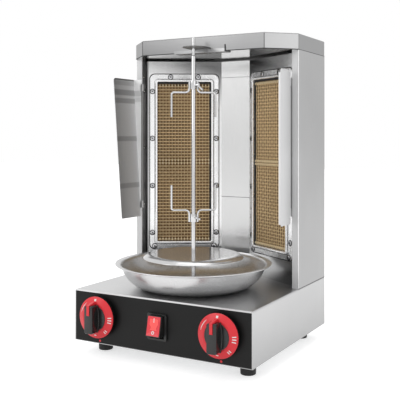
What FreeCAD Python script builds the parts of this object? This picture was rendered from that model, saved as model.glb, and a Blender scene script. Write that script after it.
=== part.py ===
import FreeCAD, Part
import math
import os
import Sketcher

# Doner kebab grill: a table-top gas grill with two upright ceramic burners and a turning spit.
# Row frame: X to the user's right, Y to the back, Z up, origin on the floor under the base's centre.
# Every length is in millimetres and every angle in degrees.

DIMENSIONS = [
    ("base_width", 300, "width of base, tower and hood"),
    ("base_depth", 278, "depth of base, and of hood and tower behind it"),
    ("base_height", 77.5, "height of the base's steel box"),
    ("foot_height", 21, "rubber foot, floor to base"),
    ("foot_radius", 11, "rubber foot at its foot"),
    ("foot_front_x", 123, "front feet from the middle, sideways"),
    ("foot_rear_x", 117.5, "rear feet from the middle, sideways"),
    ("foot_front_y", 97, "front feet in front of the middle"),
    ("foot_rear_y", 113, "rear feet behind the middle"),
    ("sheet_thick", 1.2, "steel sheet of tower, hood and panels"),
    ("top_thick", 1.5, "steel sheet of the base"),
    ("tower_height", 366, "base top to the hood's lower edge"),
    ("panel_gap", 3.2, "shadow gap between the inner panels and the ceiling"),
    ("hood_height", 24.5, "height of the hood's rim"),
    ("hood_front_y", 14.75, "hood front in front of the middle"),
    ("hood_corner", 40, "cut corner of the hood"),
    ("column_front_y", 26, "column front behind the middle"),
    ("column_width", 12, "column's front face"),
    ("column_return", 11.3, "column's inner return, front to back"),
    ("centre_half", 27, "half the width of the back panel between the burners"),
    ("burner_angle", 32, "burner panel turned from the back towards its side"),
    ("burner_x", 82, "burner centre sideways"),
    ("burner_y", 74, "burner centre behind the middle"),
    ("burner_z", 288, "burner centre above the floor"),
    ("frame_width", 119.5, "pressed burner frame"),
    ("frame_height", 301.5, "pressed burner frame"),
    ("frame_corner", 9, "corner radius of the frame"),
    ("window_width", 93, "opening of the burner frame, one ceramic plaque wide"),
    ("window_height", 276, "opening of the burner frame, two ceramic plaques high"),
    ("rim_width", 4, "raised rim round the opening"),
    ("rim_height", 4, "raised rim in front of the frame"),
    ("plaque_thick", 13, "ceramic plaque"),
    ("head_depth", 25, "burner head behind its panel"),
    ("spit_y", 36.5, "spit axis in front of the middle"),
    ("rod_radius", 3.1, "spit rod"),
    ("pin_radius", 2.35, "thin upper end of the spit rod"),
    ("shoulder_z", 456, "step between rod and pin"),
    ("spit_top_z", 485, "top of the spit"),
    ("disc_z", 150.4, "top of the meat disc"),
    ("disc_flat_radius", 66, "flat top of the meat disc"),
    ("disc_radius", 77.8, "edge of the meat disc's skirt"),
    ("pan_radius", 121, "drip pan's rim"),
    ("pan_rim_z", 137, "drip pan's rim above the floor"),
    ("pan_thick", 1, "drip pan's sheet"),
    ("knob_x", 102.5, "knobs from the middle"),
    ("knob_z", 62.2, "knobs above the floor"),
    ("knob_radius", 30.75, "red ring of the knob"),
    ("hub_radius", 19, "black hub of the knob"),
    ("knob_reach", 30, "knob's grip in front of the base"),
    ("stem_radius", 4, "valve stem"),
    ("switch_z", 59.5, "rocker switch above the floor"),
    ("rocker_tilt", 12, "rocker's tilt to either side"),
    ("rocker_reach", 14.4, "rocker's face in front of its pivot"),
    ("shield_width", 43.1, "right shield, hinge to front edge"),
    ("shield_top_z", 433, "right shield's top"),
    ("shield_foot_z", 197.4, "right shield's lower edge"),
    ("hinge_x", 135.6, "shield hinge pins from the middle"),
    ("hinge_y", 23.6, "shield hinge pins behind the middle"),
    ("fork_spread", 34, "tines from the rod"),
    ("fork_turn", 35, "forks turned about the rod"),
    ("screw_turn", -5, "clamp screws' heading about the rod"),
    ("wire_radius", 1.6, "fork wire"),
    ("hub_height", 12.8, "fork hub along the rod"),
    ("motor_radius", 30, "geared motor"),
    ("inlet_x", 60, "gas and power inlets from the middle, at the back"),
    ("inlet_z", 40, "gas bar, gas inlet and power gland above the floor"),
    ("inlet_reach", 30, "gas inlet behind the base"),
]

doc = FreeCAD.newDocument("doner_grill")
sheet = doc.addObject("Spreadsheet::Sheet", "sizes")
for line, (alias, value, note) in enumerate(DIMENSIONS, start=1):
    sheet.set("A%d" % line, alias)
    sheet.set("B%d" % line, str(value))
    sheet.set("C%d" % line, note)
    sheet.setAlias("B%d" % line, alias)
doc.recompute()


class Size:
    """A number from the sheet, or worked out from such numbers, with its formula."""

    def __init__(self, value, formula):
        self.value = float(value)
        self.formula = formula

    def __add__(self, other):
        return combined(self, other, "+", self.value + number(other))

    def __radd__(self, other):
        return combined(other, self, "+", self.value + other)

    def __sub__(self, other):
        return combined(self, other, "-", self.value - number(other))

    def __rsub__(self, other):
        return combined(other, self, "-", other - self.value)

    def __mul__(self, other):
        return combined(self, other, "*", self.value * number(other))

    def __rmul__(self, other):
        return combined(other, self, "*", self.value * other)

    def __truediv__(self, other):
        return combined(self, other, "/", self.value / number(other))

    def __neg__(self):
        return Size(-self.value, "(0 - %s)" % self.formula)


def number(quantity):
    """The plain value of a Size or of a number."""
    return quantity.value if isinstance(quantity, Size) else float(quantity)


def formula(quantity):
    """The formula text of a Size or of a number."""
    return quantity.formula if isinstance(quantity, Size) else "(%.6f)" % quantity


def combined(left, right, sign, value):
    """Two quantities joined by an arithmetic sign."""
    return Size(value, "(%s %s %s)" % (formula(left), sign, formula(right)))


def cosine(angle):
    """Cosine of an angle in degrees."""
    return Size(math.cos(math.radians(number(angle))), "cos(%s)" % formula(angle))


def sine(angle):
    """Sine of an angle in degrees."""
    return Size(math.sin(math.radians(number(angle))), "sin(%s)" % formula(angle))


def size(alias):
    """A driving dimension from the sheet."""
    return Size(getattr(sheet, alias), "sizes." + alias)


def bind(thing, prop, quantity):
    """Set a property and bind it to the quantity's formula."""
    thing.setExpression(prop, formula(quantity))


def place(thing, at, turn=0):
    """Put an object at a point, turned about Z, with both bound to the sheet."""
    spin = FreeCAD.Rotation(FreeCAD.Vector(0, 0, 1), number(turn))
    thing.Placement = FreeCAD.Placement(FreeCAD.Vector(*[number(c) for c in at]), spin)
    for axis, coordinate in zip("xyz", at):
        bind(thing, "Placement.Base." + axis, coordinate)
    if isinstance(turn, Size):
        bind(thing, "Placement.Rotation.Angle", turn)


NODES = []


def new_body(label, at=(0, 0, 0), turn=0):
    """A sub-part with its own origin."""
    body = doc.addObject("PartDesign::Body", label)
    body.Label = label
    place(body, at, turn)
    NODES.append(body)
    return body


def group(label, bodies):
    """Equal pieces that share one sub-part as separate solids."""
    for body in bodies:
        NODES.remove(body)
    bundle = doc.addObject("Part::Compound", label)
    bundle.Label = label
    bundle.Links = bodies
    NODES.append(bundle)
    return bundle


def new_sketch(body, role, name, offset=0):
    """An empty sketch on one of the body's own origin planes, moved along its normal."""
    sketch = body.newObject("Sketcher::SketchObject", name)
    planes = [item for item in body.Origin.OriginFeatures if item.Role == role]
    sketch.AttachmentSupport = (planes[0], [""])
    sketch.MapMode = "FlatFace"
    sketch.AttachmentOffset = FreeCAD.Placement(
        FreeCAD.Vector(0, 0, number(offset)), FreeCAD.Rotation())
    bind(sketch, "AttachmentOffset.Base.z", offset)
    return sketch


def hold(sketch, geometry, end, point):
    """Lock one point of a sketch to bound coordinates."""
    for kind, coordinate in zip(("DistanceX", "DistanceY"), point):
        index = sketch.addConstraint(Sketcher.Constraint(kind, geometry, end, number(coordinate)))
        bind(sketch, "Constraints[%d]" % index, coordinate)


def flat(point, third=0):
    """A sketch vector from a pair of quantities."""
    return FreeCAD.Vector(number(point[0]), number(point[1]), third)


def add_arc(sketch, start, via, finish):
    """An arc through three points. Its two ends are returned in the order of travel:
    a sketch arc always runs anticlockwise, so a clockwise one starts at its second end."""
    circle = Part.Arc(start, via, finish).toShape().Curve
    centre = circle.Center
    anticlockwise = (via - start).cross(finish - via).z > 0
    first, last = (start, finish) if anticlockwise else (finish, start)
    angles = [math.atan2(end.y - centre.y, end.x - centre.x) for end in (first, last)]
    if angles[1] < angles[0]:
        angles[1] += 2 * math.pi
    ring = Part.Circle(centre, FreeCAD.Vector(0, 0, 1), circle.Radius)
    sketch.addGeometry(Part.ArcOfCircle(ring, angles[0], angles[1]), False)
    return (1, 2) if anticlockwise else (2, 1)


def outline(sketch, points, closed=True):
    """Lines through bound points. A point given as (x, y, (u, v)) is reached by an arc
    that passes through (u, v)."""
    first = sketch.GeometryCount
    starts = points if closed else points[:-1]
    ends = []
    for index, start in enumerate(starts):
        finish = points[(index + 1) % len(points)]
        if len(finish) == 3:
            ends.append(add_arc(sketch, flat(start), flat(finish[2]), flat(finish)))
        else:
            sketch.addGeometry(Part.LineSegment(flat(start), flat(finish)), False)
            ends.append((1, 2))
    for index, (begin, finish) in enumerate(ends):
        hold(sketch, first + index, begin, starts[index][:2])
        if index + 1 < len(ends):
            sketch.addConstraint(Sketcher.Constraint(
                "Coincident", first + index, finish, first + index + 1, ends[index + 1][0]))
    if closed:
        sketch.addConstraint(Sketcher.Constraint(
            "Coincident", first + len(ends) - 1, ends[-1][1], first, ends[0][0]))
    else:
        hold(sketch, first + len(ends) - 1, ends[-1][1], points[-1][:2])
    return sketch


def rectangle(sketch, width, height, at=(0, 0)):
    """A centred rectangle."""
    left, right = at[0] - width / 2, at[0] + width / 2
    low, high = at[1] - height / 2, at[1] + height / 2
    return outline(sketch, [(left, low), (right, low), (right, high), (left, high)])


def round_rectangle(sketch, width, height, radius, at=(0, 0)):
    """A centred rectangle with quarter-round corners, anticlockwise from its lower edge."""
    bend = radius * (1 - math.sqrt(0.5))
    left, right = at[0] - width / 2, at[0] + width / 2
    low, high = at[1] - height / 2, at[1] + height / 2
    return outline(sketch, [
        (left + radius, low, (left + bend, low + bend)),
        (right - radius, low),
        (right, low + radius, (right - bend, low + bend)),
        (right, high - radius),
        (right - radius, high, (right - bend, high - bend)),
        (left + radius, high),
        (left, high - radius, (left + bend, high - bend)),
        (left, low + radius)])


def circles(sketch, radius, centres):
    """Equal circles at bound centres."""
    for centre in centres:
        ring = Part.Circle(flat(centre), FreeCAD.Vector(0, 0, 1), number(radius))
        index = sketch.addGeometry(ring, False)
        hold(sketch, index, 3, centre)
        lock = sketch.addConstraint(Sketcher.Constraint("Radius", index, number(radius)))
        bind(sketch, "Constraints[%d]" % lock, radius)
    return sketch


def feature(body, kind, sketch, length=None, backward=False, through=False):
    """A pad or pocket of a sketch. A pocket that removes nothing is an error."""
    before = 0 if kind == "Pad" else body.Shape.Volume
    item = body.newObject("PartDesign::" + kind, sketch.Name + "_" + kind.lower())
    item.Profile = sketch
    item.Reversed = backward
    if through:
        item.Type = 1
    else:
        item.Length = number(length)
        bind(item, "Length", length)
    doc.recompute()
    if kind == "Pocket" and body.Shape.Volume > before - 1e-3:
        raise RuntimeError("pocket removes nothing: " + body.Label + " " + sketch.Name)
    return item


def pad(body, sketch, length, backward=False):
    """Solid raised from a sketch along its normal."""
    return feature(body, "Pad", sketch, length, backward)


def pocket(body, sketch, length=None, backward=False):
    """Recess from a sketch against its normal, or right through when no length is given."""
    return feature(body, "Pocket", sketch, length, backward, through=length is None)


def revolve(body, sketch):
    """Full turn of a sketch about its own vertical axis."""
    turn = body.newObject("PartDesign::Revolution", sketch.Name + "_turn")
    turn.Profile = sketch
    turn.ReferenceAxis = (sketch, ["V_Axis"])
    turn.Angle = 360
    doc.recompute()
    return turn


def repeat(body, source, sketch, axis, length, count):
    """A row of equal features along a sketch axis."""
    row = body.newObject("PartDesign::LinearPattern", source.Name + "_row")
    row.Originals = [source]
    row.Direction = (sketch, [axis])
    row.Length = number(length)
    row.Occurrences = count
    body.Tip = row
    doc.recompute()
    return row


def pipe(body, path_sketch, section_sketch):
    """Wire or tube of a round section along a path sketch."""
    bent = body.newObject("PartDesign::AdditivePipe", path_sketch.Name + "_pipe")
    bent.Profile = section_sketch
    edges = ["Edge%d" % (index + 1) for index in range(path_sketch.GeometryCount)]
    bent.Spine = (path_sketch, edges)
    doc.recompute()
    return bent


WIDTH = size("base_width")
DEPTH = size("base_depth")
FLOOR = size("foot_height")
BASE_TOP = FLOOR + size("base_height")
TOWER_TOP = BASE_TOP + size("tower_height")
SHEET = size("sheet_thick")
TOP = size("top_thick")
SPIT_Y = -size("spit_y")
KNOB_Z = size("knob_z")
FRONT = -DEPTH / 2
BACK = DEPTH / 2
PIPE_Z = size("inlet_z")
GAS_X = -size("inlet_x")
POWER_X = size("inlet_x")
BURNER_TURN = size("burner_angle")
PANEL_GAP = size("panel_gap")
MIX_BACK = 13.7
MIX_X = size("burner_x") + sine(BURNER_TURN) * MIX_BACK
MIX_Y = size("burner_y") + cosine(BURNER_TURN) * MIX_BACK
SIDES = (("left", -1), ("right", 1))


def base_housing():
    """Bent steel box, open below and in front, with a lip over the front panel."""
    body = new_body("base_housing", (0, 0, FLOOR))
    height = size("base_height")
    pad(body, rectangle(new_sketch(body, "XY_Plane", "base_block"), WIDTH, DEPTH), height)
    inside = rectangle(new_sketch(body, "XY_Plane", "base_inside"), WIDTH - TOP * 2, DEPTH - TOP * 2)
    pocket(body, inside, height - TOP, backward=True)
    mouth = new_sketch(body, "XZ_Plane", "base_mouth")
    rectangle(mouth, WIDTH - TOP * 2, height - 2.3, (0, (height - 2.3) / 2))
    pocket(body, mouth, DEPTH, backward=True)
    drive = circles(new_sketch(body, "XY_Plane", "base_drive_hole"), 10, [(0, SPIT_Y)])
    pocket(body, drive, backward=True)
    mixing = new_sketch(body, "XY_Plane", "base_mixing_holes")
    circles(mixing, 12, [(-MIX_X, MIX_Y), (MIX_X, MIX_Y)])
    pocket(body, mixing, backward=True)
    rear = new_sketch(body, "XZ_Plane", "base_rear_holes")
    circles(rear, 8, [(GAS_X, PIPE_Z - FLOOR), (POWER_X, PIPE_Z - FLOOR)])
    pocket(body, rear)


def front_panel():
    """Black control panel between the base's side walls, with a return along its foot."""
    body = new_body("front_panel", (0, FRONT + SHEET, FLOOR))
    height = size("base_height") - 2.4
    face = new_sketch(body, "XZ_Plane", "panel_face")
    pad(body, rectangle(face, WIDTH - TOP * 2 - 0.2, height, (0, height / 2)), SHEET)
    foot = new_sketch(body, "XY_Plane", "panel_return", SHEET + 0.1)
    rectangle(foot, WIDTH - TOP * 2 - 0.2, 12, (0, 6))
    pad(body, foot, SHEET)
    holes = new_sketch(body, "XZ_Plane", "panel_holes")
    circles(holes, 5, [(-size("knob_x"), KNOB_Z - FLOOR), (size("knob_x"), KNOB_Z - FLOOR)])
    rectangle(holes, 29, 35, (0, size("switch_z") - FLOOR))
    pocket(body, holes, backward=True)


def base_bottom_plate():
    """Plate under the base, with two rows of air slots and the feet's screw holes."""
    body = new_body("base_bottom_plate", (0, 0, FLOOR))
    plate = new_sketch(body, "XY_Plane", "plate")
    pad(body, rectangle(plate, WIDTH - TOP * 2 - 0.4, DEPTH - TOP * 2 - 0.4), SHEET)
    holes = new_sketch(body, "XY_Plane", "plate_screw_holes")
    front = [(size("foot_front_x") * sign, -size("foot_front_y")) for _, sign in SIDES]
    rear = [(size("foot_rear_x") * sign, size("foot_rear_y")) for _, sign in SIDES]
    pocket(body, circles(holes, 2.2, front + rear), backward=True)
    for name, middle in (("front", -52), ("rear", 52)):
        slot = new_sketch(body, "XY_Plane", "air_slot_" + name)
        rectangle(slot, 5, 44, (-62.5, middle))
        cut = pocket(body, slot, backward=True)
        repeat(body, cut, slot, "H_Axis", 125, 6)


def feet():
    """Four tapered rubber feet with a screw recess from below."""
    four = []
    for end, aside, depth in (("front", size("foot_front_x"), -size("foot_front_y")),
                              ("rear", size("foot_rear_x"), size("foot_rear_y"))):
        for side, sign in SIDES:
            body = new_body("%s_%s_foot" % (end, side), (aside * sign, depth, 0))
            radius = size("foot_radius")
            profile = new_sketch(body, "XZ_Plane", "foot_profile")
            outline(profile, [
                (4.5, 0), (radius - 1.5, 0), (radius, 1.5, (radius - 0.44, 0.44)),
                (radius + 0.8, FLOOR - 1), (radius + 0.8, FLOOR), (0, FLOOR), (0, 6), (4.5, 6)])
            revolve(body, profile)
            four.append(body)
    group("rubber_feet", four)


def column(side, sign):
    """Side casing bent from sheet: outer side, narrow front and inner return."""
    body = new_body(side + "_column", (0, 0, BASE_TOP))
    outer = WIDTH / 2
    inner = outer - size("column_width")
    front = size("column_front_y")
    corner = front + size("column_return")
    points = [
        (outer, BACK), (outer, front), (inner, front), (inner, corner), (inner + SHEET, corner),
        (inner + SHEET, front + SHEET), (outer - SHEET, front + SHEET), (outer - SHEET, BACK)]
    section = new_sketch(body, "XY_Plane", "column_section")
    outline(section, [(x * sign, y) for x, y in points])
    pad(body, section, size("tower_height"))


def rear_cover():
    """Flat cover of the tower's back, with two columns of air slots."""
    body = new_body("rear_cover", (0, BACK, BASE_TOP))
    height = size("tower_height")
    face = new_sketch(body, "XZ_Plane", "cover_face")
    pad(body, rectangle(face, WIDTH - SHEET * 2 - 0.1, height, (0, height / 2)), SHEET)
    for name, middle in (("left", -65), ("right", 65)):
        slot = new_sketch(body, "XZ_Plane", "cover_slot_" + name)
        rectangle(slot, 70, 6, (middle, 110))
        cut = pocket(body, slot, 5, backward=True)
        repeat(body, cut, slot, "V_Axis", 180, 10)


def hood_outline(sketch, inset):
    """Hood in plan: a rectangle with its two front corners cut off at 45 degrees."""
    half = WIDTH / 2 - inset
    front = -size("hood_front_y") + inset
    cut = size("hood_corner") - inset * (2 - math.sqrt(2))
    back = BACK - inset
    return outline(sketch, [
        (-half, back), (-half, front + cut), (-half + cut, front),
        (half - cut, front), (half, front + cut), (half, back)])


def hood_shell():
    """Shallow lid with cut front corners, open below."""
    body = new_body("hood_shell", (0, 0, TOWER_TOP))
    pad(body, hood_outline(new_sketch(body, "XY_Plane", "hood_outside"), 0), size("hood_height"))
    inside = hood_outline(new_sketch(body, "XY_Plane", "hood_inside"), SHEET)
    pocket(body, inside, size("hood_height") - SHEET, backward=True)


def ceiling_plate():
    """Bright plate that closes the hood from below."""
    body = new_body("ceiling_plate", (0, 0, TOWER_TOP))
    pad(body, hood_outline(new_sketch(body, "XY_Plane", "ceiling_outline"), SHEET + 0.1), SHEET)


def spit_top_bracket():
    """Clip round the hood's lower front edge, with a round-ended tongue that holds the pin."""
    body = new_body("spit_top_bracket", (0, -size("hood_front_y"), TOWER_TOP))
    left, right = -48, 44.5
    strip = new_sketch(body, "YZ_Plane", "clip_section", left)
    outline(strip, [
        (18, 0), (0, 0), (0, 6.2), (-SHEET, 6.2), (-SHEET, -SHEET), (18, -SHEET)])
    pad(body, strip, right - left)
    tongue = new_sketch(body, "XY_Plane", "tongue_outline", 5)
    half = 18.5
    middle = SPIT_Y + size("hood_front_y")
    tip = middle - half + 3
    side = tip + half
    outline(tongue, [
        (-half, -SHEET), (-half, side), (half, side, (0, tip)), (half, -SHEET)])
    pad(body, tongue, SHEET)
    hole = circles(new_sketch(body, "XY_Plane", "pin_hole"), size("pin_radius") + 0.35, [(0, middle)])
    pocket(body, hole, backward=True)


def burner_panel(side, sign):
    """Flat upright panel that carries a burner in its window."""
    body = new_body(side + "_burner_panel", (size("burner_x") * sign, size("burner_y"), BASE_TOP),
                    -BURNER_TURN * sign)
    inner = (size("centre_half") - size("burner_x")) / cosine(BURNER_TURN)
    outer = 64.6
    height = size("tower_height") - PANEL_GAP
    face = new_sketch(body, "XZ_Plane", "panel_face")
    ends = [inner * sign, outer * sign]
    outline(face, [(ends[0], 0), (ends[1], 0), (ends[1], height), (ends[0], height)])
    pad(body, face, SHEET, backward=True)
    window = new_sketch(body, "XZ_Plane", "panel_window")
    centre = size("burner_z") - BASE_TOP
    rectangle(window, size("window_width") + 4, size("window_height") + 4, (0, centre))
    pocket(body, window)


def centre_panel():
    """Narrow bright panel between the two burner panels."""
    tangent = sine(BURNER_TURN) / cosine(BURNER_TURN)
    depth = size("burner_y") + (size("burner_x") - size("centre_half")) * tangent
    body = new_body("centre_panel", (0, depth, BASE_TOP))
    height = size("tower_height") - PANEL_GAP
    face = rectangle(new_sketch(body, "XZ_Plane", "centre_face"), size("centre_half") * 2, height,
                     (0, height / 2))
    pad(body, face, SHEET, backward=True)


def burner_body(label, sign):
    """A sub-part in the frame of one burner: X along the panel, Y to its back, Z up."""
    at = (size("burner_x") * sign, size("burner_y"), size("burner_z"))
    return new_body(label, at, -BURNER_TURN * sign)


def burner_frame(side, sign):
    """Pressed frame: flat flange with keyhole notches, and a raised rim round the opening."""
    body = burner_body(side + "_burner_frame", sign)
    wide, tall = size("window_width"), size("window_height")
    flange = new_sketch(body, "XZ_Plane", "flange")
    round_rectangle(flange, size("frame_width"), size("frame_height"), size("frame_corner"))
    pad(body, flange, 1.5)
    rim = new_sketch(body, "XZ_Plane", "rim", 1.5)
    both = size("rim_width") * 2
    round_rectangle(rim, wide + both, tall + both, 5)
    pad(body, rim, size("rim_height"))
    opening = round_rectangle(new_sketch(body, "XZ_Plane", "opening"), wide, tall, 2)
    pocket(body, opening, backward=True)
    notch = new_sketch(body, "XZ_Plane", "edge_notches")
    for edge in (-1, 1):
        for height in (-126.8, 0.6, 127.4):
            rectangle(notch, 4, 6, (size("frame_width") / 2 * edge - 2 * edge, height))
    pocket(body, notch, backward=True)


def burner_mesh(side, sign):
    """Wire screen clamped behind the frame, drawn as a plate with square gaps."""
    body = burner_body(side + "_burner_mesh", sign)
    wide, tall = size("window_width") + 3.6, size("window_height") + 3.6
    pad(body, rectangle(new_sketch(body, "XZ_Plane", "screen"), wide, tall), 1, backward=True)
    gap, step, columns, rows = 12.5, 15.2, 6, 18
    grid = new_sketch(body, "XZ_Plane", "gap_row")
    level = -step * (rows - 1) / 2
    for column_index in range(columns):
        rectangle(grid, gap, gap, ((column_index - (columns - 1) / 2) * step, level))
    cut = pocket(body, grid)
    repeat(body, cut, grid, "V_Axis", step * (rows - 1), rows)


def plaque(side, sign, place_name, level):
    """One ceramic radiant plaque."""
    body = burner_body("%s_%s_plaque" % (side, place_name), sign)
    tall = size("window_height") / 2
    face = new_sketch(body, "XZ_Plane", "plaque_face", -2.2)
    rectangle(face, size("window_width"), tall - 0.2, (0, tall / 2 * level))
    pad(body, face, size("plaque_thick"), backward=True)


def burner_head(side, sign):
    """Gas chamber behind the plaques: a seat for them, a hollow behind and a port below."""
    body = burner_body(side + "_burner_head", sign)
    wide, tall = size("window_width"), size("window_height")
    depth = size("head_depth")
    seat_depth = size("plaque_thick") + 2.2 - SHEET
    block = new_sketch(body, "XZ_Plane", "head_block", -SHEET)
    rectangle(block, wide + 14, tall + 14)
    pad(body, block, depth, backward=True)
    seat = rectangle(new_sketch(body, "XZ_Plane", "plaque_seat", -SHEET), wide + 0.4, tall + 0.4)
    pocket(body, seat, seat_depth)
    hollow = rectangle(new_sketch(body, "XZ_Plane", "gas_hollow", -SHEET), wide - 8, tall - 8)
    pocket(body, hollow, depth - 1.5)
    port = circles(new_sketch(body, "XY_Plane", "gas_port"), 8.2, [(0, MIX_BACK)])
    pocket(body, port)


def mixing_tube(side, sign):
    """Venturi tube from the injector up to the burner head, with a flared mouth."""
    top = size("burner_z") - size("window_height") / 2 - 7
    low = 44
    body = new_body(side + "_mixing_tube", (MIX_X * sign, MIX_Y, low))
    height = top - low
    profile = new_sketch(body, "XZ_Plane", "tube_wall")
    outline(profile, [
        (11.2, 0), (13, 0), (13, 1.5), (10, 12), (10, height), (8.2, height), (8.2, 12)])
    revolve(body, profile)


def gas_line(side, sign):
    """Thin pipe from the valve's outlet, in two gentle bends, with the brass jet soldered on
    its end under the mixing tube."""
    body = new_body(side + "_gas_line", (MIX_X * sign, 0, 0))
    start_y, jet_z = -94.0, 33.0
    path = new_sketch(body, "YZ_Plane", "pipe_path")
    outline(path, [
        (start_y, KNOB_Z), (-70, KNOB_Z), (-50, KNOB_Z - 8, (-59.2, KNOB_Z - 2.1)),
        (-30, jet_z + 8), (-10, jet_z, (-20.8, jet_z + 2.1)), (MIX_Y, jet_z)], closed=False)
    section = new_sketch(body, "XZ_Plane", "pipe_section", -start_y)
    circles(section, 3, [(0, KNOB_Z)])
    pipe(body, path, section)
    for name, radius, low, height in (("base", 7, 27, 12), ("neck", 4, 39, 5), ("nozzle", 2.5, 44, 3)):
        drum = circles(new_sketch(body, "XY_Plane", "jet_" + name, low), radius, [(0, MIX_Y)])
        pad(body, drum, height)


def gas_manifold():
    """Square gas bar behind the front panel, with its feed pipe from the back."""
    body = new_body("gas_manifold", (0, 0, PIPE_Z))
    bar = new_sketch(body, "XY_Plane", "gas_bar", -7)
    rectangle(bar, size("knob_x") * 2 + 30, 14, (0, -112))
    pad(body, bar, 14)
    feed = new_sketch(body, "XZ_Plane", "feed_pipe", 105)
    circles(feed, 6, [(GAS_X, 0)])
    pad(body, feed, 105 + BACK - 13, backward=True)


def gas_valve(side, sign):
    """Brass tap body with a hollow for its plug, an inlet below and an outlet behind."""
    body = new_body(side + "_gas_valve", (size("knob_x") * sign, 0, KNOB_Z))
    front = FRONT + SHEET
    flange = new_sketch(body, "XZ_Plane", "tap_flange", -front)
    pad(body, circles(flange, 14, [(0, 0)]), 3, backward=True)
    barrel = new_sketch(body, "XZ_Plane", "tap_barrel", -front - 3)
    pad(body, circles(barrel, 11, [(0, 0)]), 35, backward=True)
    inlet = new_sketch(body, "XY_Plane", "tap_inlet", PIPE_Z + 7 - KNOB_Z)
    pad(body, circles(inlet, 6, [(0, -112)]), KNOB_Z - PIPE_Z - 9)
    outlet = new_sketch(body, "XZ_Plane", "tap_outlet", 101)
    shift = (MIX_X - size("knob_x")) * sign
    outline(outlet, [
        (shift - 5 * sign, -5), (5 * sign, -5), (5 * sign, 5), (shift - 5 * sign, 5)])
    pad(body, outlet, 7, backward=True)
    bore = new_sketch(body, "XZ_Plane", "stem_bore", -front)
    pocket(body, circles(bore, size("stem_radius") + 0.3, [(0, 0)]), 12)
    hollow = circles(new_sketch(body, "XZ_Plane", "plug_hollow", 128), 7.3, [(0, 0)])
    pocket(body, hollow, 22)


def valve_plug(side, sign):
    """Brass plug that turns inside the tap and lets the stem slide in it."""
    body = new_body(side + "_valve_plug", (size("knob_x") * sign, 0, KNOB_Z))
    drum = circles(new_sketch(body, "XZ_Plane", "plug_drum", 127.5), 7, [(0, 0)])
    pad(body, drum, 21, backward=True)
    bore = circles(new_sketch(body, "XZ_Plane", "plug_bore", 127.5), size("stem_radius") + 0.05,
                   [(0, 0)])
    pocket(body, bore, 20)


def knob(side, sign):
    """Knob of four pieces: black body, red ring, red pointer and the tap's stem."""
    at = (size("knob_x") * sign, FRONT, KNOB_Z)
    radius, hub = size("knob_radius"), size("hub_radius")
    reach = size("knob_reach")

    body = new_body(side + "_knob", at)
    skirt = circles(new_sketch(body, "XZ_Plane", "skirt", 3.6), radius - 0.4, [(0, 0)])
    pad(body, skirt, 4.9)
    boss = circles(new_sketch(body, "XZ_Plane", "hub", 8.5), hub, [(0, 0)])
    pad(body, boss, 6)
    grip = round_rectangle(new_sketch(body, "XZ_Plane", "grip", 14.5), 15, 41, 3)
    pad(body, grip, reach - 15.5)
    bore = circles(new_sketch(body, "XZ_Plane", "stem_seat", 3.6), size("stem_radius") + 0.02,
                   [(0, 0)])
    pocket(body, bore, 18, backward=True)

    ring = new_body(side + "_knob_ring", at)
    profile = new_sketch(ring, "YZ_Plane", "ring_profile")
    outline(profile, [
        (-8.5, hub + 0.1), (-8.5, radius), (-10, radius), (-13.5, hub + 2.5), (-13.5, hub + 0.1)])
    turn = ring.newObject("PartDesign::Revolution", "ring_turn")
    turn.Profile = profile
    turn.ReferenceAxis = (profile, ["H_Axis"])
    turn.Angle = 360

    pointer = new_body(side + "_knob_pointer", at)
    face = new_sketch(pointer, "XZ_Plane", "pointer_face", reach - 1)
    rectangle(face, 4.5, 14.8, (0, 13.9))
    pad(pointer, face, 1)
    fin = new_sketch(pointer, "YZ_Plane", "pointer_fin", -2.25)
    outline(fin, [
        (-reach, 20.5), (-14.5, 20.5), (-14.5, 25.0), (-reach, 21.3)])
    pad(pointer, fin, 4.5)

    stem = new_body(side + "_valve_stem", at)
    rod = circles(new_sketch(stem, "XZ_Plane", "stem_rod", -26.5), size("stem_radius"), [(0, 0)])
    pad(stem, rod, 26.5 + 21.5)


def switch_housing():
    """Switch bezel in front of the panel and its box behind, with room for the rocker."""
    body = new_body("switch_housing", (0, FRONT, size("switch_z")))
    bezel = round_rectangle(new_sketch(body, "XZ_Plane", "bezel"), 32.5, 38, 3)
    pad(body, bezel, 3)
    box = rectangle(new_sketch(body, "XZ_Plane", "switch_box"), 28.6, 34.6)
    pad(body, box, 18, backward=True)
    hollow = rectangle(new_sketch(body, "XZ_Plane", "rocker_room", 3), 24.4, 32.6)
    pocket(body, hollow, 14)
    journal = circles(new_sketch(body, "YZ_Plane", "pivot_holes", -13.4), 1.55, [(2.2, 0)])
    pocket(body, journal, 26.8, backward=True)


def rocker():
    """Lit rocker, drawn level and stored with its upper half pressed in."""
    reach = size("rocker_reach")
    body = new_body("rocker", (0, FRONT + 2.2, size("switch_z")))
    tilt = FreeCAD.Rotation(FreeCAD.Vector(1, 0, 0), -sheet.rocker_tilt)
    body.Placement = FreeCAD.Placement(body.Placement.Base, tilt)
    side_view = new_sketch(body, "YZ_Plane", "rocker_side", -11.7)
    outline(side_view, [
        (5, -12), (5, 12), (-reach, 15), (-reach, -15, (-reach + 1.1, 0))])
    pad(body, side_view, 23.4)
    pins = circles(new_sketch(body, "YZ_Plane", "rocker_pins", -13.3), 1.5, [(0, 0)])
    pad(body, pins, 26.6)


def drive_motor():
    """Round geared motor, closed, with a bore for its shaft."""
    body = new_body("drive_motor", (0, SPIT_Y, 62))
    can = circles(new_sketch(body, "XY_Plane", "motor_can"), size("motor_radius"), [(0, 0)])
    pad(body, can, 26)
    gearbox = circles(new_sketch(body, "XY_Plane", "gearbox_boss", 26), 14, [(0, 0)])
    pad(body, gearbox, 2)
    bore = circles(new_sketch(body, "XY_Plane", "shaft_bore", 28), 3.56, [(0, 0)])
    pocket(body, bore, 12)


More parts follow.
